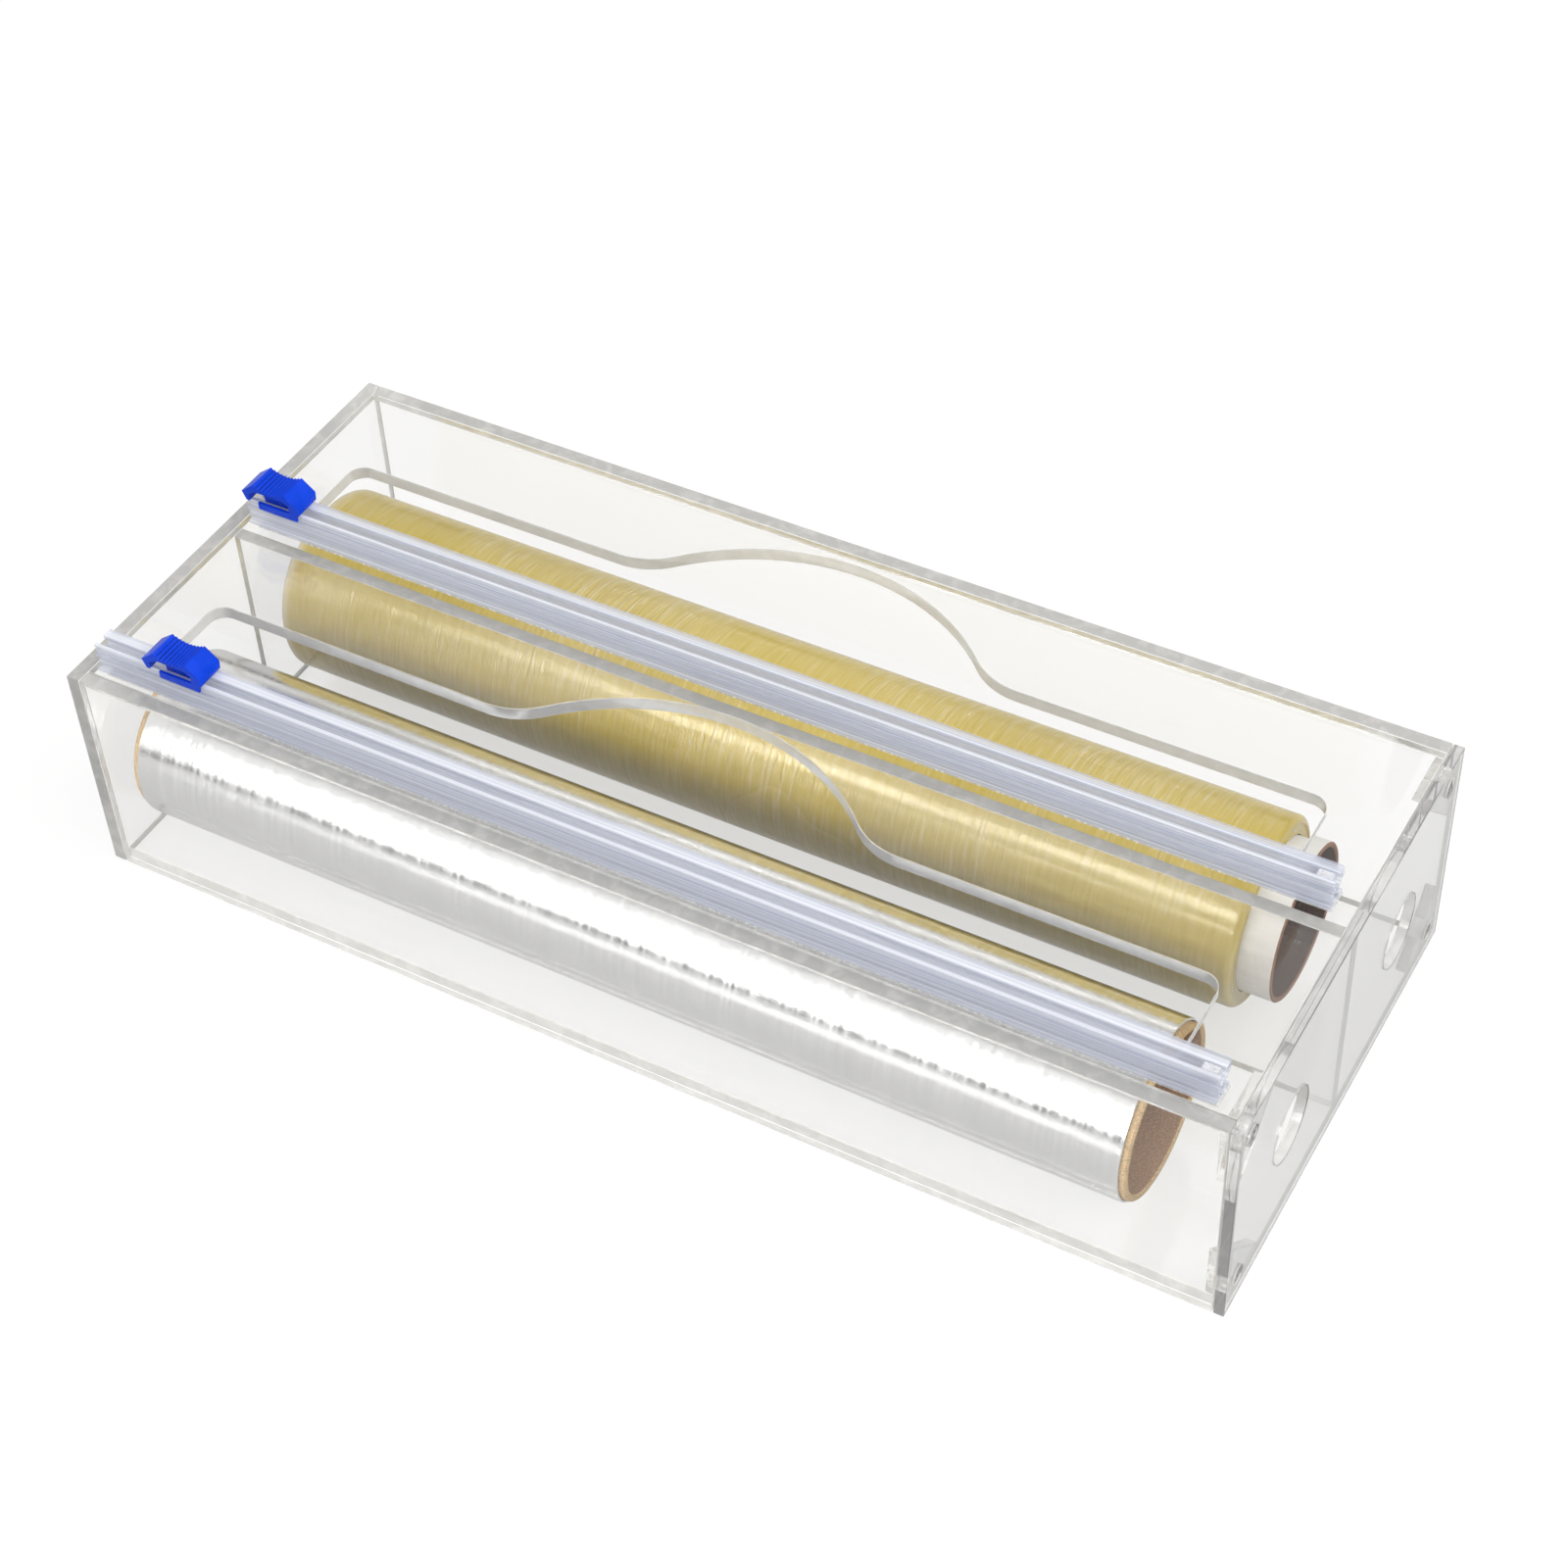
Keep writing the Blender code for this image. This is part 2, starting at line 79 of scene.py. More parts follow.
GLASS_BOUNCES = 24
CLEAR_BOUNCES = 48


# ---------------------------------------------------------------- settings
def length(name, description, default):
    """A size in metres that the user may change."""
    return FloatProperty(name=name, description=description, default=default, min=0.0, unit="LENGTH",
                         precision=5)


def colour(name, description, default):
    """A surface colour that the user may change."""
    return FloatVectorProperty(name=name, description=description, default=default, size=3,
                               min=0.0, max=1.0, subtype="COLOR")


def share(name, description, default):
    """A number from 0 to 1."""
    return FloatProperty(name=name, description=description, default=default, min=0.0, max=1.0,
                         subtype="FACTOR")


def watts(name, description, default):
    """The power of a lamp."""
    return FloatProperty(name=name, description=description, default=default, min=0.0, unit="POWER")


def metres(name, description, default):
    """A point, or the two sides of a lamp, in metres."""
    return FloatVectorProperty(name=name, description=description, default=default, size=len(default),
                               unit="LENGTH")


class DispenserSheetSettings(bpy.types.PropertyGroup):
    """Sizes and colours of the clear sheets."""

    polish: length("Edge polish", "Width of the polished corner along each sheet's rim", 0.00025)
    opening_inset: length("Opening inset", "Case end to the nearest end of an opening", 0.0195)
    opening_end: length("Opening end", "Door's inner face to the openings' right end", 0.0205)
    opening_corner: length("Opening corner", "Radius of an opening's corners", 0.005)
    opening_width: length("Opening width", "The front opening's straight part, front to back", 0.0288)
    rear_narrower: length("Rear narrower", "How much narrower the rear opening is", 0.0011)
    track_clearance: length("Track clearance", "Back of a track to the front of its opening", 0.0015)
    wave_shift: length("Wave shift", "The wave's middle, left of the opening's middle", 0.0003)
    wave_half: length("Wave half width", "Half the width of the finger wave", 0.063)
    wave_height: length("Wave height", "How far the finger wave reaches back", 0.026)
    wave_crown: length("Wave crown", "Radius of the finger wave's crown", 0.068)
    finger_hole: length("Finger hole", "Radius of the door's finger holes", 0.01075)
    magnet_bore: length("Magnet bore", "Radius of the holes that the magnets sit in", 0.0028)
    magnet_rounding: length("Magnet rounding", "Width of the soft rims of the magnets", 0.0002)
    face_tint: colour("Face tint", "What the clear sheet lets through", (0.985, 0.983, 0.976))
    edge_tint: colour("Edge tint", "Grey that light takes on at a cut edge", (0.74, 0.73, 0.705))
    wall_tint: colour("Wall tint", "Grey that light takes on at an opening's wall", (0.90, 0.89, 0.87))
    edge_clearness: share("Edge clearness", "How much light passes a cut edge", 0.4)
    wall_clearness: share("Wall clearness", "How much light passes an opening's wall", 0.55)
    small_edge_tint: colour("Small edge tint", "Grey of the door's and gussets' edges", (0.84, 0.83, 0.81))
    small_edge_clearness: share("Small edge clearness", "How much light passes those edges", 0.75)
    edge_haze: share("Edge haze", "Roughness of the cut edges", 0.1)
    small_edge_haze: share("Small edge haze", "Roughness of the door's and gussets' edges", 0.025)


class DispenserCutterSettings(bpy.types.PropertyGroup):
    """Sizes and colours of the slide cutters."""

    track_rounding: length("Track rounding", "Width of the soft corners along a track", 0.00012)
    stop_rounding: length("Stop rounding", "Width of the soft corners of an end stop", 0.0002)
    slider_rounding: length("Slider rounding", "Width of the moulded corners of a slider", 0.00014)
    saddle_depth: length("Saddle depth", "Slider's top down to the lowest ridge", 0.0022)
    # the largest side that still takes the painted shade of the thumb ridges
    painted_shade_side_area: FloatProperty(name="Ridge side", description="Largest area of one side of a ridge",
                                   default=0.000012, precision=7, unit="AREA")
    track_light: colour("Track light", "Light draw lines of the clear track", (0.90, 0.92, 0.97))
    track_dark: colour("Track dark", "Darker draw lines of the clear track", (0.56, 0.60, 0.74))
    slider_colour: colour("Slider colour", "Moulded plastic of the sliders", (0.0, 0.05, 0.66))
    # painted shade: a darker blue for the left-facing sides of the thumb ridges, as if lit from the right
    painted_shade_colour: colour("Painted shade colour", "Shaded side of the slider's thumb ridges", (0.0, 0.014, 0.23))


class DispenserFilmSettings(bpy.types.PropertyGroup):
    """Sizes and colours of the film roll."""

    rings: IntProperty(name="Rings", description="Mesh rings along the roll", default=170, min=8)
    sides: IntProperty(name="Sides", description="Mesh steps around the roll", default=144, min=24)
    layers: IntProperty(name="Layers", description="Rings that show at a winding's end", default=9, min=2)
    core_bore: length("Core bore", "Radius of the core's bore", 0.0205)
    pull_marks: length("Pull marks", "Depth of the marks left by winding the film tight", 0.00009)
    shoulder: length("Shoulder", "Radius of the winding's soft ends", 0.002)
    light: colour("Light film", "Film where few layers show", (0.64, 0.505, 0.17))
    deep: colour("Deep film", "Film where many layers show", (0.50, 0.375, 0.045))
    # this colour also paints the whitish streaks across the film, which are painted highlight streaks
    milky: colour("Milky film", "Film where loose or stretched layers scatter light", (0.80, 0.76, 0.66))
    bore: colour("Bore", "Dark card inside the film's core", (0.09, 0.048, 0.03))
    core_ends: colour("Core ends", "Cut card at the ends of the film's core", (0.27, 0.144, 0.09))


class DispenserFoilSettings(bpy.types.PropertyGroup):
    """Sizes and colours of the foil roll."""

    rings: IntProperty(name="Rings", description="Mesh rings along the roll", default=220, min=8)
    sides: IntProperty(name="Sides", description="Mesh steps around the roll", default=160, min=24)
    layers: IntProperty(name="Layers", description="Rings that show at a winding's end", default=3, min=2)
    core_bore: length("Core bore", "Radius of the core's bore", 0.0214)
    dents: length("Dents", "Depth of the soft dents in the foil", 0.00006)
    shoulder: length("Shoulder", "Radius of the winding's ends", 0.0003)
    silver: colour("Silver", "Bright side of the foil", (0.95, 0.95, 0.95))
    kraft: colour("Kraft", "Card on the outside and at the ends of the foil's core", (0.52, 0.375, 0.21))
    bore: colour("Bore", "Card inside the foil's core", (0.40, 0.25, 0.15))


class DispenserStageSettings(bpy.types.PropertyGroup):
    """Camera and light."""

    camera_place: metres("Camera place", "Where the camera stands", (0.32328, -0.51321, 0.64795))
    camera_turn: FloatVectorProperty(name="Camera turn", description="Azimuth, elevation and roll", size=3,
                                     default=[math.radians(a) for a in (31.416, 44.913, -3.087)],
                                     unit="ROTATION")
    lens: FloatProperty(name="Lens", description="Focal length in millimetres", default=71.34, min=1.0)
    sensor: FloatProperty(name="Sensor", description="Width of the sensor in millimetres", default=36.0)
    floor_tint: colour("Floor tint", "Pale studio floor", (0.22, 0.22, 0.22))
    floor_glow: share("Floor glow", "Light that comes up through the floor", 0.78)
    glow_in_shine: share("Glow in shine", "The floor's glow as shiny surfaces mirror it", 0.42)
    glow_on_matt: share("Glow on matt", "The floor's glow as matt surfaces receive it", 0.34)
    strip_power: watts("Strip power", "Power of the front strip light", 17.0)
    strip_place: metres("Strip place", "Where the front strip light stands", (-0.1, -1.1, 0.56))
    strip_size: metres("Strip size", "Width and height of the front strip light", (1.25, 0.48))
    top_power: watts("Top power", "Power of the overhead softbox", 8.0)
    top_place: metres("Top place", "Where the overhead softbox hangs", (1.0, 0.15, 1.1))
    top_size: metres("Top size", "Width and depth of the overhead softbox", (0.9, 0.9))
    sky: FloatProperty(name="Sky", description="Brightness of the room", default=0.95)


SETTINGS = {
    "dispenser_sheet": DispenserSheetSettings,
    "dispenser_cutter": DispenserCutterSettings,
    "dispenser_film": DispenserFilmSettings,
    "dispenser_foil": DispenserFoilSettings,
    "dispenser_stage": DispenserStageSettings,
}


# ---------------------------------------------------------------- node helpers
def put(tree, kind, inputs=None, **settings):
    """Adds a node.  An input takes a plain value or another node's output."""
    node = tree.nodes.new(kind)
    for key, value in settings.items():
        setattr(node, key, value)
    for key, value in (inputs or {}).items():
        if isinstance(value, bpy.types.NodeSocket):
            tree.links.new(value, node.inputs[key])
        else:
            node.inputs[key].default_value = value
    return node


def arithmetic(tree, operation, first, second=0.0):
    """A Math node's result, from plain numbers or outputs."""
    return put(tree, "ShaderNodeMath", {0: first, 1: second}, operation=operation).outputs[0]


def blend_colours(tree, factor, first, second):
    """A mix of two colours, each a tuple or an output."""
    node = put(tree, "ShaderNodeMix", data_type="RGBA")
    for key, value in (("Factor", factor), ("A", first), ("B", second)):
        socket = next(s for s in node.inputs if s.name == key and (key == "Factor" or s.type == "RGBA"))
        if isinstance(value, bpy.types.NodeSocket):
            tree.links.new(value, socket)
        else:
            socket.default_value = value if key == "Factor" else (*value, 1.0)
    return next(s for s in node.outputs if s.type == "RGBA")


def spread(tree, value, low, high, to_low=0.0, to_high=1.0):
    """Stretches the range low..high of a value to to_low..to_high, and stops there."""
    node = put(tree, "ShaderNodeMapRange", {"Value": value, "From Min": low, "From Max": high,
                                            "To Min": to_low, "To Max": to_high})
    return node.outputs["Result"]


def new_group(name, inputs, outputs):
    """An empty shader node group with number inputs {name: default} and number outputs."""
    group = bpy.data.node_groups.new(name, "ShaderNodeTree")
    for key, default in inputs.items():
        socket = group.interface.new_socket(name=key, in_out="INPUT", socket_type="NodeSocketFloat")
        socket.default_value = default
    for key in outputs:
        group.interface.new_socket(name=key, in_out="OUTPUT", socket_type="NodeSocketFloat")
    return group, group.nodes.new("NodeGroupInput"), group.nodes.new("NodeGroupOutput")


def draw_lines_group():
    """Fine lines that run along X, as drawing or extruding leaves them."""
    name = "Draw lines"
    if name in bpy.data.node_groups:
        return bpy.data.node_groups[name]
    group, given, result = new_group(name, {"Across": 900.0, "Along": 6.0, "Detail": 3.0}, ["Value"])
    place = put(group, "ShaderNodeTexCoord").outputs["Object"]
    scale = put(group, "ShaderNodeCombineXYZ", {"X": given.outputs["Along"], "Y": given.outputs["Across"],
                                                "Z": given.outputs["Across"]})
    stretched = put(group, "ShaderNodeMapping", {"Vector": place, "Scale": scale.outputs[0]})
    lines = put(group, "ShaderNodeTexNoise", {"Vector": stretched.outputs[0], "Scale": 1.0,
                                              "Detail": given.outputs["Detail"]})
    group.links.new(lines.outputs["Fac"], result.inputs["Value"])
    return group


def handling_marks_group():
    """Soft smudges and a few fine scratches, as handling leaves them."""
    name = "Handling marks"
    if name in bpy.data.node_groups:
        return bpy.data.node_groups[name]
    group, given, result = new_group(name, {"Smudge Scale": 22.0, "Scratch Scale": 260.0},
                                     ["Smudges", "Scratches"])
    place = put(group, "ShaderNodeTexCoord").outputs["Object"]
    smudge = put(group, "ShaderNodeTexNoise", {"Vector": place, "Scale": given.outputs["Smudge Scale"],
                                               "Detail": 4.0, "Distortion": 0.6})
    group.links.new(spread(group, smudge.outputs["Fac"], 0.45, 0.75), result.inputs["Smudges"])
    turned = put(group, "ShaderNodeMapping", {"Vector": place, "Rotation": (0.4, 0.7, 0.5),
                                              "Scale": (0.06, 1.0, 1.0)})
    scratch = put(group, "ShaderNodeTexNoise", {"Vector": turned.outputs[0],
                                                "Scale": given.outputs["Scratch Scale"], "Detail": 2.0})
    group.links.new(spread(group, scratch.outputs["Fac"], 0.68, 0.76), result.inputs["Scratches"])
    return group


def moulded_grain_group():
    """The fine even grain of a moulded or pressed surface."""
    name = "Moulded grain"
    if name in bpy.data.node_groups:
        return bpy.data.node_groups[name]
    group, given, result = new_group(name, {"Scale": 3000.0}, ["Height"])
    place = put(group, "ShaderNodeTexCoord").outputs["Object"]
    grain = put(group, "ShaderNodeTexNoise", {"Vector": place, "Scale": given.outputs["Scale"],
                                              "Detail": 3.0})
    group.links.new(grain.outputs["Fac"], result.inputs["Height"])
    return group


def use_group(tree, group, values):
    """Adds a node that uses a group, with some of its inputs set."""
    node = put(tree, "ShaderNodeGroup", node_tree=group)
    for key, value in values.items():
        node.inputs[key].default_value = value
    return node


def new_material(name, base, roughness, metallic=0.0, **plain):
    """A material with its Principled shader.  The plain values go on the shader's own sockets."""
    material = bpy.data.materials.new(name)
    material.use_nodes = True
    tree = material.node_tree
    shader = tree.nodes["Principled BSDF"]
    shader.inputs["Base Color"].default_value = (*base, 1.0)
    shader.inputs["Roughness"].default_value = roughness
    shader.inputs["Metallic"].default_value = metallic
    for key, value in plain.items():
        shader.inputs[key.replace("_", " ")].default_value = value
    return material, tree, shader


def raise_surface(tree, shader, height, strength, distance):
    """Bumps the shader's normal with a height output."""
    bump = put(tree, "ShaderNodeBump", {"Height": height, "Strength": strength, "Distance": distance})
    tree.links.new(bump.outputs[0], shader.inputs["Normal"])


def let_lamps_through(tree, shader, tint):
    """Clear pieces don't block the lamps: shadow rays pass with a slight tint."""
    clear = put(tree, "ShaderNodeBsdfTransparent", {"Color": (*tint, 1.0)})
    path = put(tree, "ShaderNodeLightPath")
    mix = put(tree, "ShaderNodeMixShader", {0: path.outputs["Is Shadow Ray"], 1: shader.outputs[0],
                                            2: clear.outputs[0]})
    tree.links.new(mix.outputs[0], tree.nodes["Material Output"].inputs["Surface"])


# ---------------------------------------------------------------- materials
def acrylic_face(settings):
    """Polished clear sheet, with faint smudges."""
    material, tree, shader = new_material("acrylic_face", settings.face_tint, 0.0,
                                          Transmission_Weight=1.0, IOR=1.49, Specular_IOR_Level=0.12)
    marks = use_group(tree, handling_marks_group(), {"Smudge Scale": 18.0, "Scratch Scale": 300.0})
    tree.links.new(spread(tree, marks.outputs["Smudges"], 0.0, 1.0, 0.0, 0.02), shader.inputs["Roughness"])
    worn = arithmetic(tree, "MULTIPLY", marks.outputs["Scratches"], 0.25)
    tinted = blend_colours(tree, worn, settings.face_tint, (0.9, 0.9, 0.9))
    tree.links.new(tinted, shader.inputs["Base Color"])
    let_lamps_through(tree, shader, settings.face_tint)
    return material


def acrylic_edge(name, tint, clearness, roughness):
    """Cut and polished edge: part haze and part clear, in soft streaks."""
    material, tree, shader = new_material(name, tint, roughness, Transmission_Weight=clearness, IOR=1.49,
                                          Specular_IOR_Level=0.3)
    marks = use_group(tree, handling_marks_group(), {"Smudge Scale": 240.0, "Scratch Scale": 900.0})
    pale = tuple(min(1.0, c * 1.25) for c in tint)
    tree.links.new(blend_colours(tree, marks.outputs["Smudges"], tint, pale), shader.inputs["Base Color"])
    tree.links.new(spread(tree, marks.outputs["Scratches"], 0.0, 1.0, roughness, roughness * 2),
                   shader.inputs["Roughness"])
    let_lamps_through(tree, shader, pale)
    return material


def clear_track(settings):
    """Clear extruded plastic: bluish, with bright and dark lines along it."""
    material, tree, shader = new_material("clear_track", settings.track_light, 0.12, IOR=1.5)
    lines = use_group(tree, draw_lines_group(), {"Across": 1500.0, "Along": 2.5, "Detail": 4.0})
    wide = use_group(tree, draw_lines_group(), {"Across": 420.0, "Along": 1.0, "Detail": 1.0})
    fine = spread(tree, lines.outputs[0], 0.32, 0.66)
    broad = spread(tree, wide.outputs[0], 0.38, 0.62)
    both = arithmetic(tree, "MULTIPLY", arithmetic(tree, "ADD", fine, broad), 0.5)
    tree.links.new(blend_colours(tree, both, settings.track_dark, settings.track_light),
                   shader.inputs["Base Color"])
    tree.links.new(spread(tree, both, 0.1, 0.9, 0.34, 0.72), shader.inputs["Alpha"])
    raise_surface(tree, shader, both, 0.35, 0.0001)
    return material


def clear_stop():
    """The moulded end plugs, a little milkier than the track."""
    material, tree, shader = new_material("clear_stop", (0.86, 0.87, 0.9), 0.15, IOR=1.5)
    grain = use_group(tree, moulded_grain_group(), {"Scale": 1500.0})
    tree.links.new(spread(tree, grain.outputs[0], 0.3, 0.7, 0.45, 0.75), shader.inputs["Alpha"])
    raise_surface(tree, shader, grain.outputs[0], 0.3, 0.0001)
    return material


def foam_tape():
    """Clear double-sided tape with small trapped bubbles."""
    material, tree, shader = new_material("foam_tape", (0.8, 0.8, 0.79), 0.45)
    place = put(tree, "ShaderNodeTexCoord").outputs["Object"]
    bubbles = put(tree, "ShaderNodeTexVoronoi", {"Vector": place, "Scale": 700.0})
    tree.links.new(spread(tree, bubbles.outputs["Distance"], 0.1, 0.5, 0.75, 0.4), shader.inputs["Alpha"])
    raise_surface(tree, shader, bubbles.outputs["Distance"], 0.3, 0.0001)
    return material


def blue_plastic(name, tint):
    """Moulded blue plastic with a fine grain and slightly worn high spots."""
    material, tree, shader = new_material(name, tint, 0.3, IOR=1.48, Specular_IOR_Level=0.16)
    marks = use_group(tree, handling_marks_group(), {"Smudge Scale": 120.0, "Scratch Scale": 1500.0})
    lighter = tuple(min(1.0, c * 1.15 + 0.004) for c in tint)
    tree.links.new(blend_colours(tree, marks.outputs["Smudges"], tint, lighter),
                   shader.inputs["Base Color"])
    tree.links.new(spread(tree, marks.outputs["Scratches"], 0.0, 1.0, 0.27, 0.42),
                   shader.inputs["Roughness"])
    grain = use_group(tree, moulded_grain_group(), {"Scale": 4500.0})
    raise_surface(tree, shader, grain.outputs[0], 0.12, 0.00005)
    return material


def bright_metal(name, base, roughness, grain_scale):
    """Ground metal with handling marks."""
    material, tree, shader = new_material(name, base, roughness, metallic=1.0)
    marks = use_group(tree, handling_marks_group(), {"Smudge Scale": 300.0, "Scratch Scale": 2400.0})
    tree.links.new(spread(tree, marks.outputs["Smudges"], 0.0, 1.0, roughness, roughness + 0.18),
                   shader.inputs["Roughness"])
    lines = use_group(tree, draw_lines_group(), {"Across": grain_scale, "Along": grain_scale / 8,
                                                 "Detail": 2.0})
    raise_surface(tree, shader, lines.outputs[0], 0.15, 0.00004)
    return material


def speckled_plate():
    """Nickel plate on pressed grains: bright, with small dark pits."""
    material, tree, shader = new_material("nickel_plate", (0.6, 0.59, 0.55), 0.2, metallic=0.9)
    place = put(tree, "ShaderNodeTexCoord").outputs["Object"]
    grain = put(tree, "ShaderNodeTexNoise", {"Vector": place, "Scale": 1100.0, "Detail": 3.0})
    pits = spread(tree, grain.outputs["Fac"], 0.44, 0.54)
    tree.links.new(blend_colours(tree, pits, (0.03, 0.028, 0.024), (0.62, 0.60, 0.56)),
                   shader.inputs["Base Color"])
    raise_surface(tree, shader, pits, 0.3, 0.0001)
    return material


def film_material(settings):
    """Tightly wound tinted film: glossy, with whitish streaks across it that are painted highlight streaks,
    milky at its left end.
    """
    material, tree, shader = new_material("wound_film", settings.light, 0.22, IOR=1.5,
                                          Coat_Weight=0.4, Coat_Roughness=0.14,
                                          Specular_IOR_Level=0.9, Specular_Tint=(1.0, 0.97, 0.88, 1.0))
    route = put(tree, "ShaderNodeUVMap", uv_map="UVMap").outputs[0]
    streak_place = put(tree, "ShaderNodeMapping", {"Vector": route, "Scale": (10.0, 900.0, 1.0)})
    streak = put(tree, "ShaderNodeTexNoise", {"Vector": streak_place.outputs[0], "Scale": 1.0,
                                              "Detail": 4.0, "Distortion": 0.8}).outputs["Fac"]
    patch_place = put(tree, "ShaderNodeMapping", {"Vector": route, "Scale": (3.0, 13.0, 1.0)})
    patch = put(tree, "ShaderNodeTexNoise", {"Vector": patch_place.outputs[0], "Scale": 1.0,
                                             "Detail": 2.0}).outputs["Fac"]
    patchy = spread(tree, patch, 0.4, 0.62)
    fine = spread(tree, streak, 0.3, 0.7)
    mixed = arithmetic(tree, "MULTIPLY", arithmetic(tree, "ADD", fine, patchy), 0.5)
    wound = blend_colours(tree, mixed, settings.deep, settings.light)
    # painted highlight: whitish streaks mixed into the colour, standing in for the highlight breaking up
    painted_highlight_streaks = arithmetic(tree, "MULTIPLY", spread(tree, streak, 0.52, 0.7), patchy)
    streaked = blend_colours(tree, arithmetic(tree, "MULTIPLY", painted_highlight_streaks, 0.3), wound, settings.milky)
    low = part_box("film_winding")[0]
    start = low.x + node_axis("film_winding")[2]
    along = put(tree, "ShaderNodeSeparateXYZ", {"Vector": route}).outputs["Y"]
    loose = spread(tree, along, start, start + 2 * settings.shoulder, 0.75, 0.0)
    tree.links.new(blend_colours(tree, loose, streaked, settings.milky), shader.inputs["Base Color"])
    tree.links.new(spread(tree, patchy, 0.0, 1.0, 0.17, 0.28), shader.inputs["Roughness"])
    height = arithmetic(tree, "MULTIPLY", fine, arithmetic(tree, "ADD", patchy, 0.2))
    raise_surface(tree, shader, height, 0.55, 0.0005)
    return material


def white_card():
    """White coated paper on the outside of the film's core."""
    material, tree, shader = new_material("white_card", (0.80, 0.785, 0.76), 0.5)
    route = put(tree, "ShaderNodeUVMap", uv_map="UVMap").outputs[0]
    fibres = put(tree, "ShaderNodeTexNoise", {"Vector": route, "Scale": 60.0, "Detail": 5.0}).outputs["Fac"]
    tree.links.new(blend_colours(tree, fibres, (0.70, 0.685, 0.65), (0.88, 0.87, 0.85)),
                   shader.inputs["Base Color"])
    raise_surface(tree, shader, fibres, 0.2, 0.0002)
    return material


def kraft_card(name, base):
    """Brown card wound on a slant: fibres, flecks and a spiral seam."""
    material, tree, shader = new_material(name, base, 0.85, Specular_IOR_Level=0.08)
    route = put(tree, "ShaderNodeUVMap", uv_map="UVMap").outputs[0]
    parts = put(tree, "ShaderNodeSeparateXYZ", {"Vector": route})
    slant = arithmetic(tree, "ADD", parts.outputs["X"], arithmetic(tree, "MULTIPLY", parts.outputs["Y"], 1.1))
    turn = arithmetic(tree, "FRACT", slant)
    seam = spread(tree, turn, 0.0, 0.035, 1.0, 0.0)
    stretched = put(tree, "ShaderNodeMapping", {"Vector": route, "Rotation": (0.0, 0.0, 0.5),
                                                "Scale": (240.0, 1600.0, 1.0)})
    fibre = put(tree, "ShaderNodeTexNoise", {"Vector": stretched.outputs[0], "Scale": 1.0,
                                             "Detail": 6.0}).outputs["Fac"]
    dark = tuple(c * 0.62 for c in base)
    light = tuple(min(1.0, c * 1.3) for c in base)
    body = blend_colours(tree, spread(tree, fibre, 0.3, 0.7), dark, light)
    tree.links.new(blend_colours(tree, arithmetic(tree, "MULTIPLY", seam, 0.6), body, dark),
                   shader.inputs["Base Color"])
    raise_surface(tree, shader, arithmetic(tree, "SUBTRACT", fibre, seam), 0.4, 0.0001)
    return material


def foil_material(settings):
    """Bright foil: fine rolling lines around the roll, small crinkles and soft dents."""
    material, tree, shader = new_material("wound_foil", settings.silver, 0.16, metallic=1.0)
    route = put(tree, "ShaderNodeUVMap", uv_map="UVMap").outputs[0]
    place = put(tree, "ShaderNodeTexCoord").outputs["Object"]
    crinkle = put(tree, "ShaderNodeTexNoise", {"Vector": place, "Scale": 900.0, "Detail": 5.0,
                                               "Roughness": 0.6}).outputs["Fac"]
    dent = put(tree, "ShaderNodeTexNoise", {"Vector": place, "Scale": 60.0, "Detail": 2.0}).outputs["Fac"]
    rolled = put(tree, "ShaderNodeMapping", {"Vector": route, "Scale": (3.0, 900.0, 1.0)})
    lines = put(tree, "ShaderNodeTexNoise", {"Vector": rolled.outputs[0], "Scale": 1.0,
                                             "Detail": 3.0}).outputs["Fac"]
    tree.links.new(spread(tree, lines, 0.3, 0.7, 0.10, 0.24), shader.inputs["Roughness"])
    dull = tuple(c * 0.9 for c in settings.silver)
    tree.links.new(blend_colours(tree, dent, dull, settings.silver), shader.inputs["Base Color"])
    height = arithmetic(tree, "ADD", arithmetic(tree, "MULTIPLY", crinkle, 0.3), dent)
    raise_surface(tree, shader, height, 0.3, 0.0004)
    return material


# ---------------------------------------------------------------- mesh helpers
def arc(centre, radius, start, end):
    """Points along a circular arc, both ends included."""
    steps = max(2, math.ceil(abs(end - start) / ARC_STEP))
    angles = [start + (end - start) * i / steps for i in range(steps + 1)]
    return [(centre[0] + radius * math.cos(a), centre[1] + radius * math.sin(a)) for a in angles]


def circle(centre, radius):
    """Points around a full circle, with none repeated."""
    return arc(centre, radius, 0, math.tau)[:-1]


def add_piece(name, bm, materials, body, replaced, sharp=SHARP):
    """Makes the object of a finished bmesh, which then stands for its CAD node."""
    mesh = bpy.data.meshes.new(name)
    bm.to_mesh(mesh)
    bm.free()
    mesh.shade_smooth()
    mesh.set_sharp_from_angle(angle=sharp)
    for material in materials:
        mesh.materials.append(material)
    piece = bpy.data.objects.new(name, mesh)
    bpy.context.scene.collection.objects.link(piece)
    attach(piece, body)
    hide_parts(replaced)


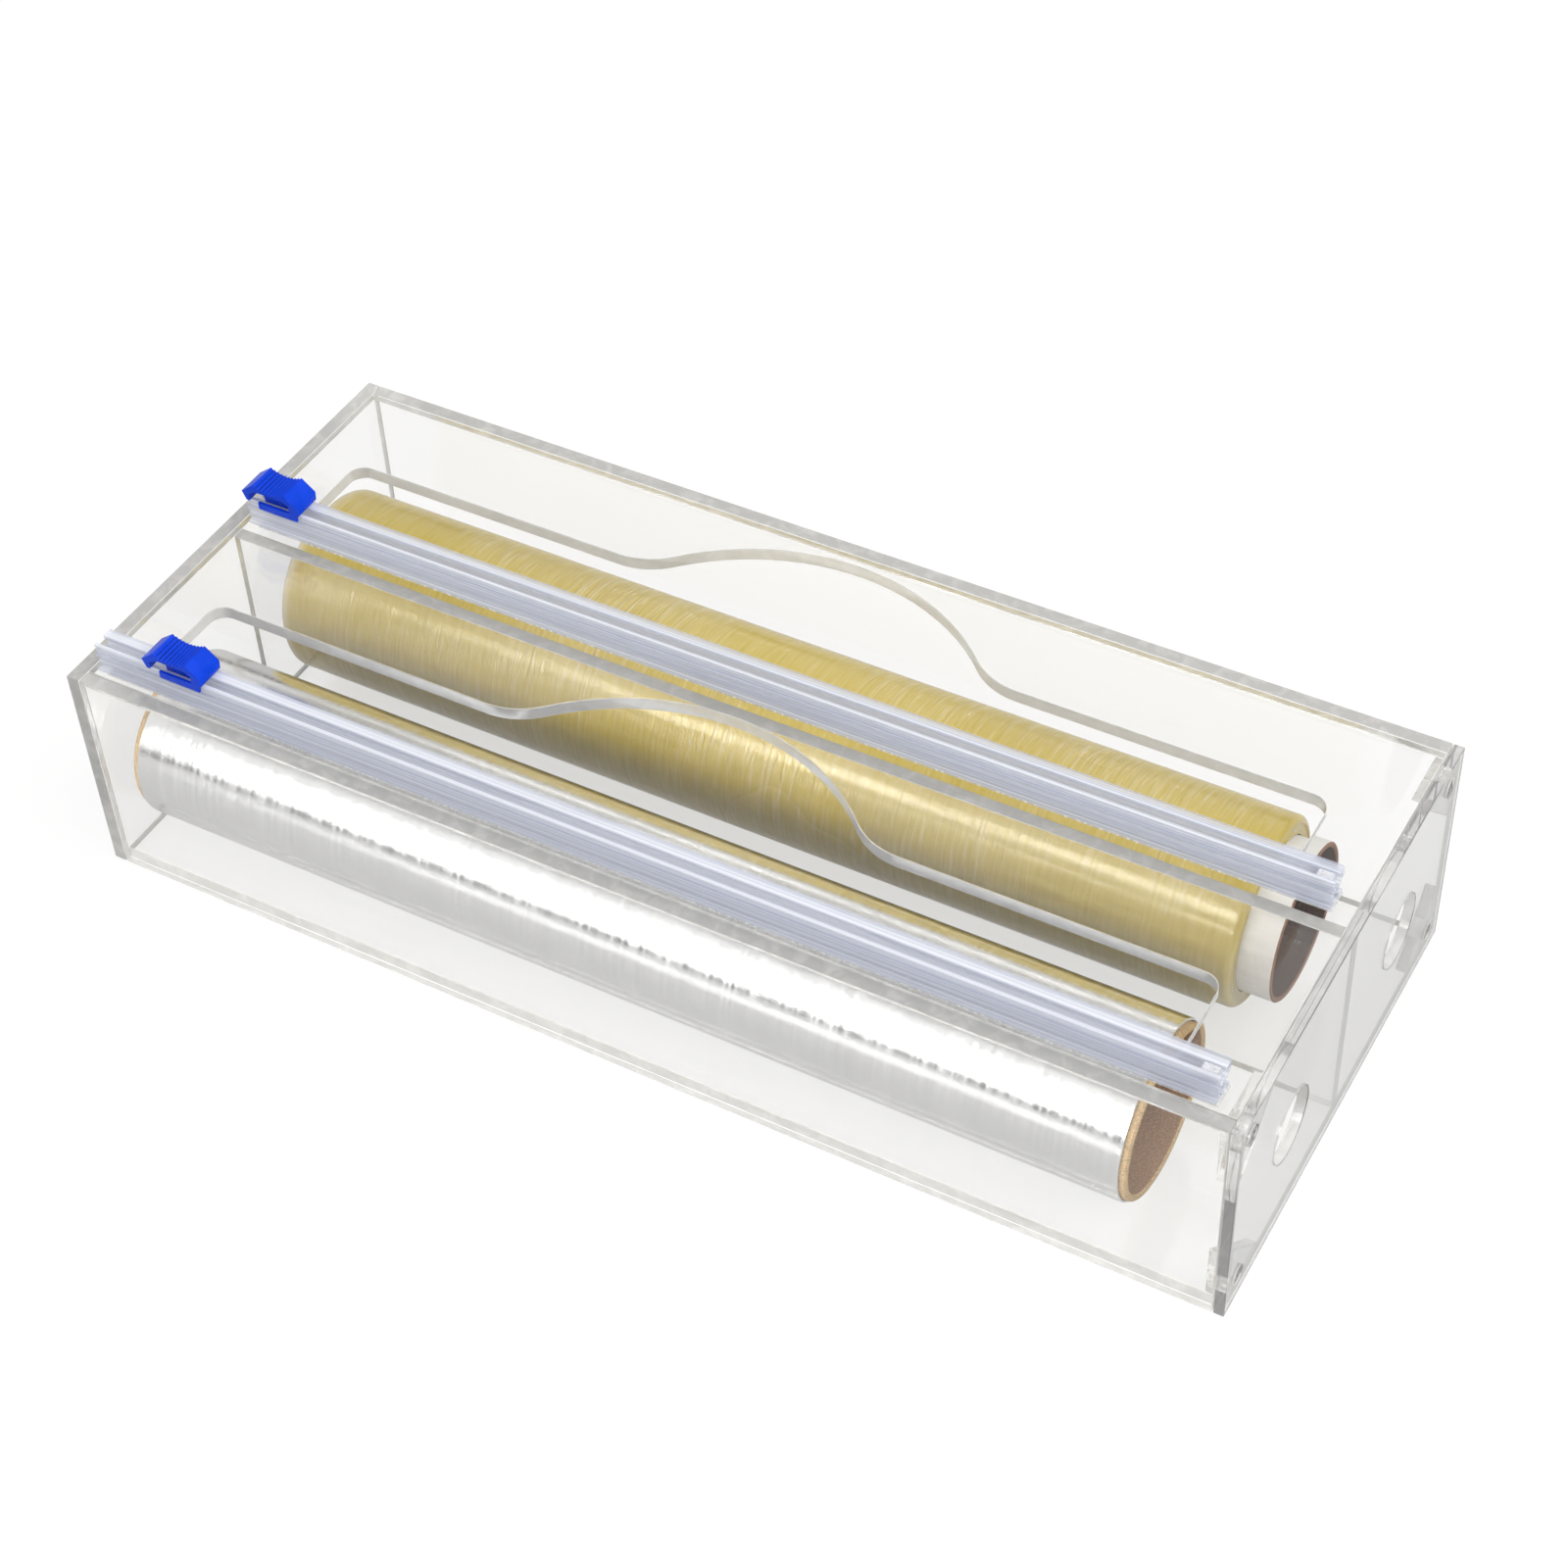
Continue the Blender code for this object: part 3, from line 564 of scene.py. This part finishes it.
def sheet_mesh(outline, holes, axis, low, high, polish):
    """A sheet with holes and polished rims.

    Its faces take material 0, its outer edges and polished rims 1, and its hole walls 2.
    """
    order = ORDER_FROM_AXIS[axis]
    bm = bmesh.new()
    rims = []
    for loop in [outline, *holes]:
        ring = []
        for point in loop:
            triple = (point[0], point[1], low)
            ring.append(bm.verts.new([triple[k] for k in order]))
        rims += [bm.edges.new(pair) for pair in zip(ring, ring[1:] + ring[:1])]
    bmesh.ops.triangle_fill(bm, use_beauty=True, use_dissolve=False, edges=rims)
    grown = bmesh.ops.extrude_face_region(bm, geom=bm.faces[:])
    step = Vector()
    step[axis] = high - low
    bmesh.ops.translate(bm, verts=[v for v in grown["geom"] if isinstance(v, bmesh.types.BMVert)], vec=step)
    bmesh.ops.recalc_face_normals(bm, faces=bm.faces[:])
    a, b = [k for k in range(3) if k != axis]
    wall_points = {(round(x, 6), round(y, 6)) for loop in holes for x, y in loop}
    for face in bm.faces:
        if all((round(v.co[a], 6), round(v.co[b], 6)) in wall_points for v in face.verts):
            face.material_index = 2
        else:
            face.material_index = 1
    corners = [e for e in bm.edges if e.calc_face_angle(0.0) > SHEET_CORNER]
    bmesh.ops.bevel(bm, geom=corners, offset=polish, segments=2, profile=0.5, affect="EDGES", material=-1)
    for face in bm.faces:
        tilt = abs(face.normal[axis])
        if tilt > FLAT:
            face.material_index = 0
        elif tilt > TILTED or face.material_index == 0:
            face.material_index = 1
    return bm


def box_outline(node, axis):
    """The rectangle of a CAD node across one axis, and its two limits along that axis."""
    low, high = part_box(node)
    a, b = [k for k in range(3) if k != axis]
    outline = [(low[a], low[b]), (high[a], low[b]), (high[a], high[b]), (low[a], high[b])]
    return outline, low[axis], high[axis]


def finish_cad_node(node, material, rounding):
    """Gives a CAD node its material and, where rounding is above 0, soft corners."""
    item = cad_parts[node]
    item.data.materials.clear()
    item.data.materials.append(material)
    if rounding > 0:
        weld = item.modifiers.new("Join triangles", "WELD")
        weld.merge_threshold = WELD
        bevel = item.modifiers.new("Soft corners", "BEVEL")
        bevel.width = rounding
        bevel.segments = 2
        bevel.limit_method = "ANGLE"
        bevel.angle_limit = CAD_CORNER


# ---------------------------------------------------------------- sheets
def opening_outline(settings, which):
    """An opening of the top panel: straight sides, round corners, a wave in the back edge."""
    left = CASE_LOW.x + settings.opening_inset
    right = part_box("door_panel")[0].x - settings.opening_end
    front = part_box(f"{which}_cutter_track")[1].y + settings.track_clearance
    back = front + settings.opening_width
    if which == "rear":
        back -= settings.rear_narrower
    middle = (left + right) / 2 - settings.wave_shift
    fillet = (settings.wave_half ** 2 + settings.wave_height ** 2) / (2 * settings.wave_height)
    fillet -= settings.wave_crown
    lean = math.asin(settings.wave_half / (settings.wave_crown + fillet))
    up = math.pi / 2
    r = settings.opening_corner
    points = arc((left + r, front + r), r, math.pi, 1.5 * math.pi)
    points += arc((right - r, front + r), r, -up, 0)
    points += arc((right - r, back - r), r, 0, up)
    points += arc((middle + settings.wave_half, back + fillet), fillet, -up, -up - lean)
    crown = (middle, back + settings.wave_height - settings.wave_crown)
    points += arc(crown, settings.wave_crown, up - lean, up + lean)[1:-1]
    points += arc((middle - settings.wave_half, back + fillet), fillet, -up + lean, -up)
    points += arc((left + r, back - r), r, up, math.pi)
    return points


class DISPENSER_OT_sheets(bpy.types.Operator):
    """Builds the clear sheets of the case and the door, with their openings and polished rims"""

    bl_idname = "dispenser.sheets"
    bl_label = "Clear sheets"

    def execute(self, context):
        settings = context.scene.dispenser_sheet
        face = acrylic_face(settings)
        edge = acrylic_edge("acrylic_edge", settings.edge_tint, settings.edge_clearness, settings.edge_haze)
        wall = acrylic_edge("acrylic_wall", settings.wall_tint, settings.wall_clearness, settings.edge_haze)
        small_edge = acrylic_edge("acrylic_small_edge", settings.small_edge_tint,
                                  settings.small_edge_clearness, settings.small_edge_haze)
        case_materials = [face, edge, wall]
        door_materials = [face, small_edge, wall]
        thin_axis = {"bottom_panel": 2, "front_panel": 1, "back_panel": 1, "left_end_panel": 0,
                     "divider_panel": 1}
        for node, axis in thin_axis.items():
            self.add_sheet(node, case_materials, "case", axis, [], settings)
        openings = [opening_outline(settings, which) for which in ("front", "rear")]
        self.add_sheet("top_panel", case_materials, "case", 2, openings, settings)
        self.add_sheet("door_panel", door_materials, "door", 0, self.door_holes(settings), settings)
        for side in ("front", "rear"):
            for level in ("lower", "upper"):
                self.add_gusset(side, level, door_materials, settings)
        return {"FINISHED"}

    def add_sheet(self, node, materials, body, axis, holes, settings):
        """A rectangular sheet that fills its CAD node's box, with its holes."""
        outline, low, high = box_outline(node, axis)
        bm = sheet_mesh(outline, holes, axis, low, high, settings.polish)
        add_piece(f"{node}_sheet", bm, materials, body, node)

    def door_holes(self, settings):
        """Two finger holes at half height and the four bores of the magnets."""
        holes = []
        middle = (CASE_LOW.z + CASE_HIGH.z) / 2
        for side in (-1, 1):
            holes.append(circle((side * CASE_HIGH.y / 2, middle), settings.finger_hole))
        for level in ("lower", "upper"):
            for side in ("front", "rear"):
                low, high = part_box(f"{level}_{side}_door_magnet")
                holes.append(circle(((low.y + high.y) / 2, (low.z + high.z) / 2), settings.magnet_bore))
        return holes

    def add_gusset(self, side, level, materials, settings):
        """A triangle with its square corner in the case's corner, and a hole for its magnet."""
        node = f"{level}_{side}_gusset"
        low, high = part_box(node)
        y, far_y = (low.y, high.y) if side == "front" else (high.y, low.y)
        z, far_z = (low.z, high.z) if level == "lower" else (high.z, low.z)
        magnet_low, magnet_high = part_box(f"{level}_{side}_case_magnet")
        centre = ((magnet_low.y + magnet_high.y) / 2, (magnet_low.z + magnet_high.z) / 2)
        bm = sheet_mesh([(y, z), (far_y, z), (y, far_z)], [circle(centre, settings.magnet_bore)], 0,
                        low.x, high.x, settings.polish)
        add_piece(f"{node}_sheet", bm, materials, "case", node)


class DISPENSER_OT_magnets(bpy.types.Operator):
    """Gives the magnets their plated finish and softened rims"""

    bl_idname = "dispenser.magnets"
    bl_label = "Magnets"

    def execute(self, context):
        plated = speckled_plate()
        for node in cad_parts:
            if node.endswith("_magnet"):
                finish_cad_node(node, plated, context.scene.dispenser_sheet.magnet_rounding)
        return {"FINISHED"}


# ---------------------------------------------------------------- slide cutters
class DISPENSER_OT_tracks(bpy.types.Operator):
    """Finishes the clear tracks, the tape under them and their end stops"""

    bl_idname = "dispenser.tracks"
    bl_label = "Cutter tracks"

    def execute(self, context):
        settings = context.scene.dispenser_cutter
        track = clear_track(settings)
        stop = clear_stop()
        tape = foam_tape()
        for which in ("front", "rear"):
            finish_cad_node(f"{which}_cutter_track", track, settings.track_rounding)
            finish_cad_node(f"{which}_end_stop", stop, settings.stop_rounding)
            finish_cad_node(f"{which}_cutter_tape", tape, 0.0)
        return {"FINISHED"}


class DISPENSER_OT_sliders(bpy.types.Operator):
    """Finishes the blue sliders and the blades inside them"""

    bl_idname = "dispenser.sliders"
    bl_label = "Sliders"

    def execute(self, context):
        settings = context.scene.dispenser_cutter
        blue = [blue_plastic("blue_plastic", settings.slider_colour),
                # the second material is painted shade for the left-facing sides of the thumb ridges
                blue_plastic("blue_plastic_painted_shade", settings.painted_shade_colour)]
        steel = bright_metal("ground_steel", (0.62, 0.62, 0.64), 0.2, 3000.0)
        for which in ("front", "rear"):
            self.add_slider(which, blue, settings)
            finish_cad_node(f"{which}_slider_blade", steel, 0.0)
        return {"FINISHED"}

    def add_slider(self, which, blue, settings):
        """The moulded body: the CAD shape with its flat faces joined and its corners rounded, with painted
        shade on the left-facing sides of its thumb ridges.
        """
        node = f"{which}_slider"
        bm = bmesh.new()
        bm.from_mesh(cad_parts[node].data)
        bmesh.ops.remove_doubles(bm, verts=bm.verts[:], dist=WELD)
        bmesh.ops.dissolve_limit(bm, angle_limit=math.radians(1), verts=bm.verts[:], edges=bm.edges[:])
        bm.normal_update()
        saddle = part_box(node)[1].z - settings.saddle_depth
        for face in bm.faces:
            # painted shade: small left-facing sides of the ridges on the saddle take the darker blue
            painted_shade_side = face.calc_center_median().z > saddle and -0.9 < face.normal.x < -0.4
            face.material_index = 1 if painted_shade_side and face.calc_area() < settings.painted_shade_side_area else 0
        corners = [e for e in bm.edges if e.calc_face_angle(0.0) > MOULDED_CORNER]
        bmesh.ops.bevel(bm, geom=corners, offset=settings.slider_rounding, segments=3, profile=0.5,
                        affect="EDGES", material=-1, clamp_overlap=True)
        add_piece(f"{which}_slider_body", bm, blue, f"{which}_cutter", node, MOULDED_SHARP)


# ---------------------------------------------------------------- rolls
def spin_profile(profile, centre, steps):
    """Turns a closed profile of (x, radius) points about an axis along X through centre."""
    bm = bmesh.new()
    points = [bm.verts.new((x, centre[0], centre[1] + radius)) for x, radius in profile]
    edges = [bm.edges.new(pair) for pair in zip(points, points[1:] + points[:1])]
    bmesh.ops.spin(bm, geom=edges, cent=(0, centre[0], centre[1]), axis=(1, 0, 0), angle=math.tau,
                   steps=steps, use_merge=True)
    bmesh.ops.recalc_face_normals(bm, faces=bm.faces[:])
    return bm


def wrap_uv(bm, centre):
    """A UV map that follows the roll: once around is 1 along U, and V grows along and outwards."""
    layer = bm.loops.layers.uv.new("UVMap")
    for face in bm.faces:
        middle = face.calc_center_median()
        base = math.atan2(middle.y - centre[0], middle.z - centre[1])
        for loop in face.loops:
            co = loop.vert.co
            y, z = co.y - centre[0], co.z - centre[1]
            angle = math.atan2(y, z)
            angle = base + (angle - base + math.pi) % math.tau - math.pi
            loop[layer].uv = (angle / math.tau, co.x + math.hypot(y, z))


def node_axis(node):
    """The y and z of a round CAD node's axis, and its outer radius."""
    low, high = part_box(node)
    return (low.y + high.y) / 2, (low.z + high.z) / 2, (high.z - low.z) / 2


def wound_profile(low, high, inner, outer, rings, layers, shoulder):
    """A winding's section: a bored block with soft shoulders, whose ends show layers that slipped."""
    def slip(i, seed):
        return 0.15 * shoulder * (1 + noise.noise(Vector((i * 1.7, seed, 0.4))))

    top = outer - shoulder
    profile = [(low, inner), (high, inner)]
    profile += [(high - slip(i, 3.1), inner + (top - inner) * i / layers) for i in range(1, layers)]
    profile += arc((high - shoulder, top), shoulder, 0, math.pi / 2)
    span = high - low - 2 * shoulder
    profile += [(high - shoulder - span * i / rings, outer) for i in range(1, rings)]
    profile += arc((low + shoulder, top), shoulder, math.pi / 2, math.pi)
    profile += [(low + slip(i, 8.3), inner + (top - inner) * i / layers) for i in range(layers - 1, 0, -1)]
    return profile


def soft_noise(x, angle, along, around, seed):
    """Smooth noise from 0 to 1 on a roll: its fineness along (per metre) and around, and a seed."""
    turned = Vector((math.sin(angle), math.cos(angle), 0)) * around
    return 0.5 + 0.5 * noise.noise(Vector((x * along, seed, 0)) + turned)


def sink_surface(bm, centre, beyond, depth):
    """Moves the points beyond a radius inwards by depth(x, angle), which is never negative."""
    for vert in bm.verts:
        y, z = vert.co.y - centre[0], vert.co.z - centre[1]
        radius = math.hypot(y, z)
        if radius > beyond:
            shrink = (radius - depth(vert.co.x, math.atan2(y, z))) / radius
            vert.co.y = centre[0] + y * shrink
            vert.co.z = centre[1] + z * shrink


def core_mesh(node, bore, steps):
    """A card tube with softly rounded ends.  Outside, bore and ends take materials 0, 1 and 2."""
    low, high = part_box(node)
    y, z, outer = node_axis(node)
    soft = (outer - bore) * 0.25
    profile = [(low.x + soft, bore), (high.x - soft, bore), (high.x, bore + soft), (high.x, outer - soft),
               (high.x - soft, outer), (low.x + soft, outer), (low.x, outer - soft), (low.x, bore + soft)]
    bm = spin_profile(profile, (y, z), steps)
    for face in bm.faces:
        middle = face.calc_center_median()
        radius = math.hypot(middle.y - y, middle.z - z)
        if radius < bore + soft / 4:
            face.material_index = 1
        else:
            face.material_index = 0 if radius > outer - soft / 4 else 2
    wrap_uv(bm, (y, z))
    return bm


class DISPENSER_OT_film_roll(bpy.types.Operator):
    """Builds the wound film and its white card core"""

    bl_idname = "dispenser.film_roll"
    bl_label = "Film roll"

    def execute(self, context):
        settings = context.scene.dispenser_film
        y, z, outer = node_axis("film_winding")
        low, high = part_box("film_winding")
        core_radius = node_axis("film_core")[2]
        profile = wound_profile(low.x, high.x, core_radius + CORE_GAP, outer, settings.rings,
                                settings.layers, settings.shoulder)
        bm = spin_profile(profile, (y, z), settings.sides)
        marks = settings.pull_marks

        def depth(x, angle):
            band = soft_noise(x, angle, along=70, around=1.6, seed=0)
            pull = soft_noise(x, angle, along=400, around=3.2, seed=4.2)
            return marks * (0.6 * band + 0.4 * pull)

        sink_surface(bm, (y, z), outer - SKIN, depth)
        wrap_uv(bm, (y, z))
        add_piece("film_winding_roll", bm, [film_material(settings)], "film_roll",
                  "film_winding")
        core = core_mesh("film_core", settings.core_bore, settings.sides)
        ends = kraft_card("brown_card_ends", settings.core_ends)
        cards = [white_card(), kraft_card("brown_card_bore", settings.bore), ends]
        add_piece("film_core_tube", core, cards, "film_roll", "film_core")
        return {"FINISHED"}


class DISPENSER_OT_foil_roll(bpy.types.Operator):
    """Builds the wound foil and its kraft card core"""

    bl_idname = "dispenser.foil_roll"
    bl_label = "Foil roll"

    def execute(self, context):
        settings = context.scene.dispenser_foil
        y, z, outer = node_axis("foil_winding")
        low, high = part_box("foil_winding")
        core_radius = node_axis("foil_core")[2]
        profile = wound_profile(low.x, high.x, core_radius + CORE_GAP, outer, settings.rings,
                                settings.layers, settings.shoulder)
        bm = spin_profile(profile, (y, z), settings.sides)
        dents = settings.dents

        def depth(x, angle):
            soft = soft_noise(x, angle, along=45, around=3, seed=1.7)
            small = soft_noise(x, angle, along=160, around=9, seed=7.7)
            return dents * (0.7 * soft + 0.3 * small)

        sink_surface(bm, (y, z), outer - SKIN, depth)
        wrap_uv(bm, (y, z))
        add_piece("foil_winding_roll", bm, [foil_material(settings)], "foil_roll",
                  "foil_winding")
        core = core_mesh("foil_core", settings.core_bore, settings.sides)
        card = kraft_card("kraft_card", settings.kraft)
        cards = [card, kraft_card("kraft_card_bore", settings.bore), card]
        add_piece("foil_core_tube", core, cards, "foil_roll", "foil_core")
        return {"FINISHED"}


# ---------------------------------------------------------------- stage
class DISPENSER_OT_stage(bpy.types.Operator):
    """Sets the pale floor, the room light, the softboxes and the camera"""

    bl_idname = "dispenser.stage"
    bl_label = "Studio"

    def execute(self, context):
        settings = context.scene.dispenser_stage
        self.add_floor(settings)
        self.add_room(context.scene, settings)
        strip = self.add_softbox("front_strip", settings.strip_power, settings.strip_place,
                                 settings.strip_size)
        strip.visible_diffuse = False
        top = self.add_softbox("top_softbox", settings.top_power, settings.top_place, settings.top_size)
        top.visible_glossy = False
        top.visible_transmission = False
        self.add_camera(context.scene, settings)
        context.scene.view_settings.view_transform = "Standard"
        context.scene.cycles.max_bounces = GLASS_BOUNCES
        context.scene.cycles.transmission_bounces = GLASS_BOUNCES
        context.scene.cycles.transparent_max_bounces = CLEAR_BOUNCES
        return {"FINISHED"}

    def add_floor(self, settings):
        """A glowing pale floor.  Shiny and matt surfaces receive less of its glow than the camera sees."""
        material, tree, shader = new_material("pale_floor", settings.floor_tint, 0.8,
                                              Specular_IOR_Level=0.1, Emission_Strength=1.0)
        path = put(tree, "ShaderNodeLightPath")
        shine = arithmetic(tree, "GREATER_THAN", path.outputs["Glossy Depth"], 0.5)
        matt = arithmetic(tree, "GREATER_THAN", path.outputs["Diffuse Depth"], 0.5)
        bright = blend_colours(tree, shine, (settings.floor_glow,) * 3, (settings.glow_in_shine,) * 3)
        tree.links.new(blend_colours(tree, matt, bright, (settings.glow_on_matt,) * 3),
                       shader.inputs["Emission Color"])
        place = put(tree, "ShaderNodeTexCoord").outputs["Object"]
        grain = put(tree, "ShaderNodeTexNoise", {"Vector": place, "Scale": 8.0, "Detail": 3.0})
        pale = tuple(min(1.0, c * 1.02) for c in settings.floor_tint)
        tree.links.new(blend_colours(tree, grain.outputs["Fac"], settings.floor_tint, pale),
                       shader.inputs["Base Color"])
        bm = bmesh.new()
        bmesh.ops.create_grid(bm, x_segments=4, y_segments=4, size=FLOOR_HALF)
        bmesh.ops.translate(bm, verts=bm.verts[:], vec=(0, 0, -FLOOR_DROP))
        mesh = bpy.data.meshes.new("floor")
        bm.to_mesh(mesh)
        bm.free()
        mesh.materials.append(material)
        floor = bpy.data.objects.new("floor", mesh)
        bpy.context.scene.collection.objects.link(floor)

    def add_room(self, scene, settings):
        """An even bright room.  Only reflections see its darker band at eye level."""
        world = bpy.data.worlds.new("room")
        scene.world = world
        world.use_nodes = True
        tree = world.node_tree
        background = tree.nodes["Background"]
        direction = put(tree, "ShaderNodeTexCoord").outputs["Generated"]
        height = put(tree, "ShaderNodeSeparateXYZ", {"Vector": direction}).outputs["Z"]
        away = arithmetic(tree, "ABSOLUTE", arithmetic(tree, "SUBTRACT", height, HORIZON))
        band = spread(tree, away, *HORIZON_REACH, *HORIZON_SHADE)
        path = put(tree, "ShaderNodeLightPath")
        shine = arithmetic(tree, "GREATER_THAN", path.outputs["Glossy Depth"], 0.5)
        shade = blend_colours(tree, shine, (1, 1, 1), band)
        tree.links.new(shade, background.inputs["Color"])
        background.inputs["Strength"].default_value = settings.sky

    def add_softbox(self, name, power, place, size):
        """A rectangular lamp that faces the middle of the case."""
        lamp = bpy.data.lights.new(name, "AREA")
        lamp.shape = "RECTANGLE"
        lamp.size, lamp.size_y = size
        lamp.energy = power
        box = bpy.data.objects.new(name, lamp)
        box.location = place
        aim = Vector((0, 0, CASE_HIGH.z / 2)) - Vector(place)
        box.rotation_euler = aim.to_track_quat("-Z", "Y").to_euler()
        bpy.context.scene.collection.objects.link(box)
        return box

    def add_camera(self, scene, settings):
        """The camera, turned by its azimuth, elevation and roll."""
        camera = bpy.data.cameras.new("camera")
        camera.lens = settings.lens
        camera.sensor_width = settings.sensor
        camera.clip_start, camera.clip_end = 0.01, 50.0
        item = bpy.data.objects.new("camera", camera)
        azimuth, elevation, roll = settings.camera_turn
        turn = Matrix.Rotation(azimuth, 4, "Z") @ Matrix.Rotation(math.pi / 2 - elevation, 4, "X")
        item.matrix_world = Matrix.Translation(settings.camera_place) @ turn @ Matrix.Rotation(roll, 4, "Z")
        scene.collection.objects.link(item)
        scene.camera = item


# ---------------------------------------------------------------- add-on
OPERATORS = [DISPENSER_OT_sheets, DISPENSER_OT_magnets, DISPENSER_OT_tracks, DISPENSER_OT_sliders,
             DISPENSER_OT_film_roll, DISPENSER_OT_foil_roll, DISPENSER_OT_stage]


class DISPENSER_PT_panel(bpy.types.Panel):
    """Lists the steps that build the dispenser"""

    bl_label = "Wrap dispenser"
    bl_idname = "DISPENSER_PT_panel"
    bl_space_type = "VIEW_3D"
    bl_region_type = "UI"
    bl_category = "Dispenser"

    def draw(self, context):
        for operator in OPERATORS:
            self.layout.operator(operator.bl_idname)
        for name, group in SETTINGS.items():
            box = self.layout.box()
            box.label(text=group.__doc__)
            for key in group.__annotations__:
                box.prop(getattr(context.scene, name), key)


def register():
    """Registers the settings, the steps and the panel."""
    for group in SETTINGS.values():
        bpy.utils.register_class(group)
    for cls in [*OPERATORS, DISPENSER_PT_panel]:
        bpy.utils.register_class(cls)
    for name, group in SETTINGS.items():
        setattr(bpy.types.Scene, name, PointerProperty(type=group))


def unregister():
    """Takes everything that register added away again."""
    for name in SETTINGS:
        delattr(bpy.types.Scene, name)
    for cls in [DISPENSER_PT_panel, *reversed(OPERATORS), *reversed(SETTINGS.values())]:
        bpy.utils.unregister_class(cls)


def main():
    """Builds everything in order."""
    register()
    for operator in OPERATORS:
        name = operator.bl_idname.split(".")[1]
        if getattr(bpy.ops.dispenser, name)() != {"FINISHED"}:
            raise RuntimeError(f"{operator.bl_label} did not finish")
    bpy.context.view_layer.update()


if __name__ == "__main__":
    main()
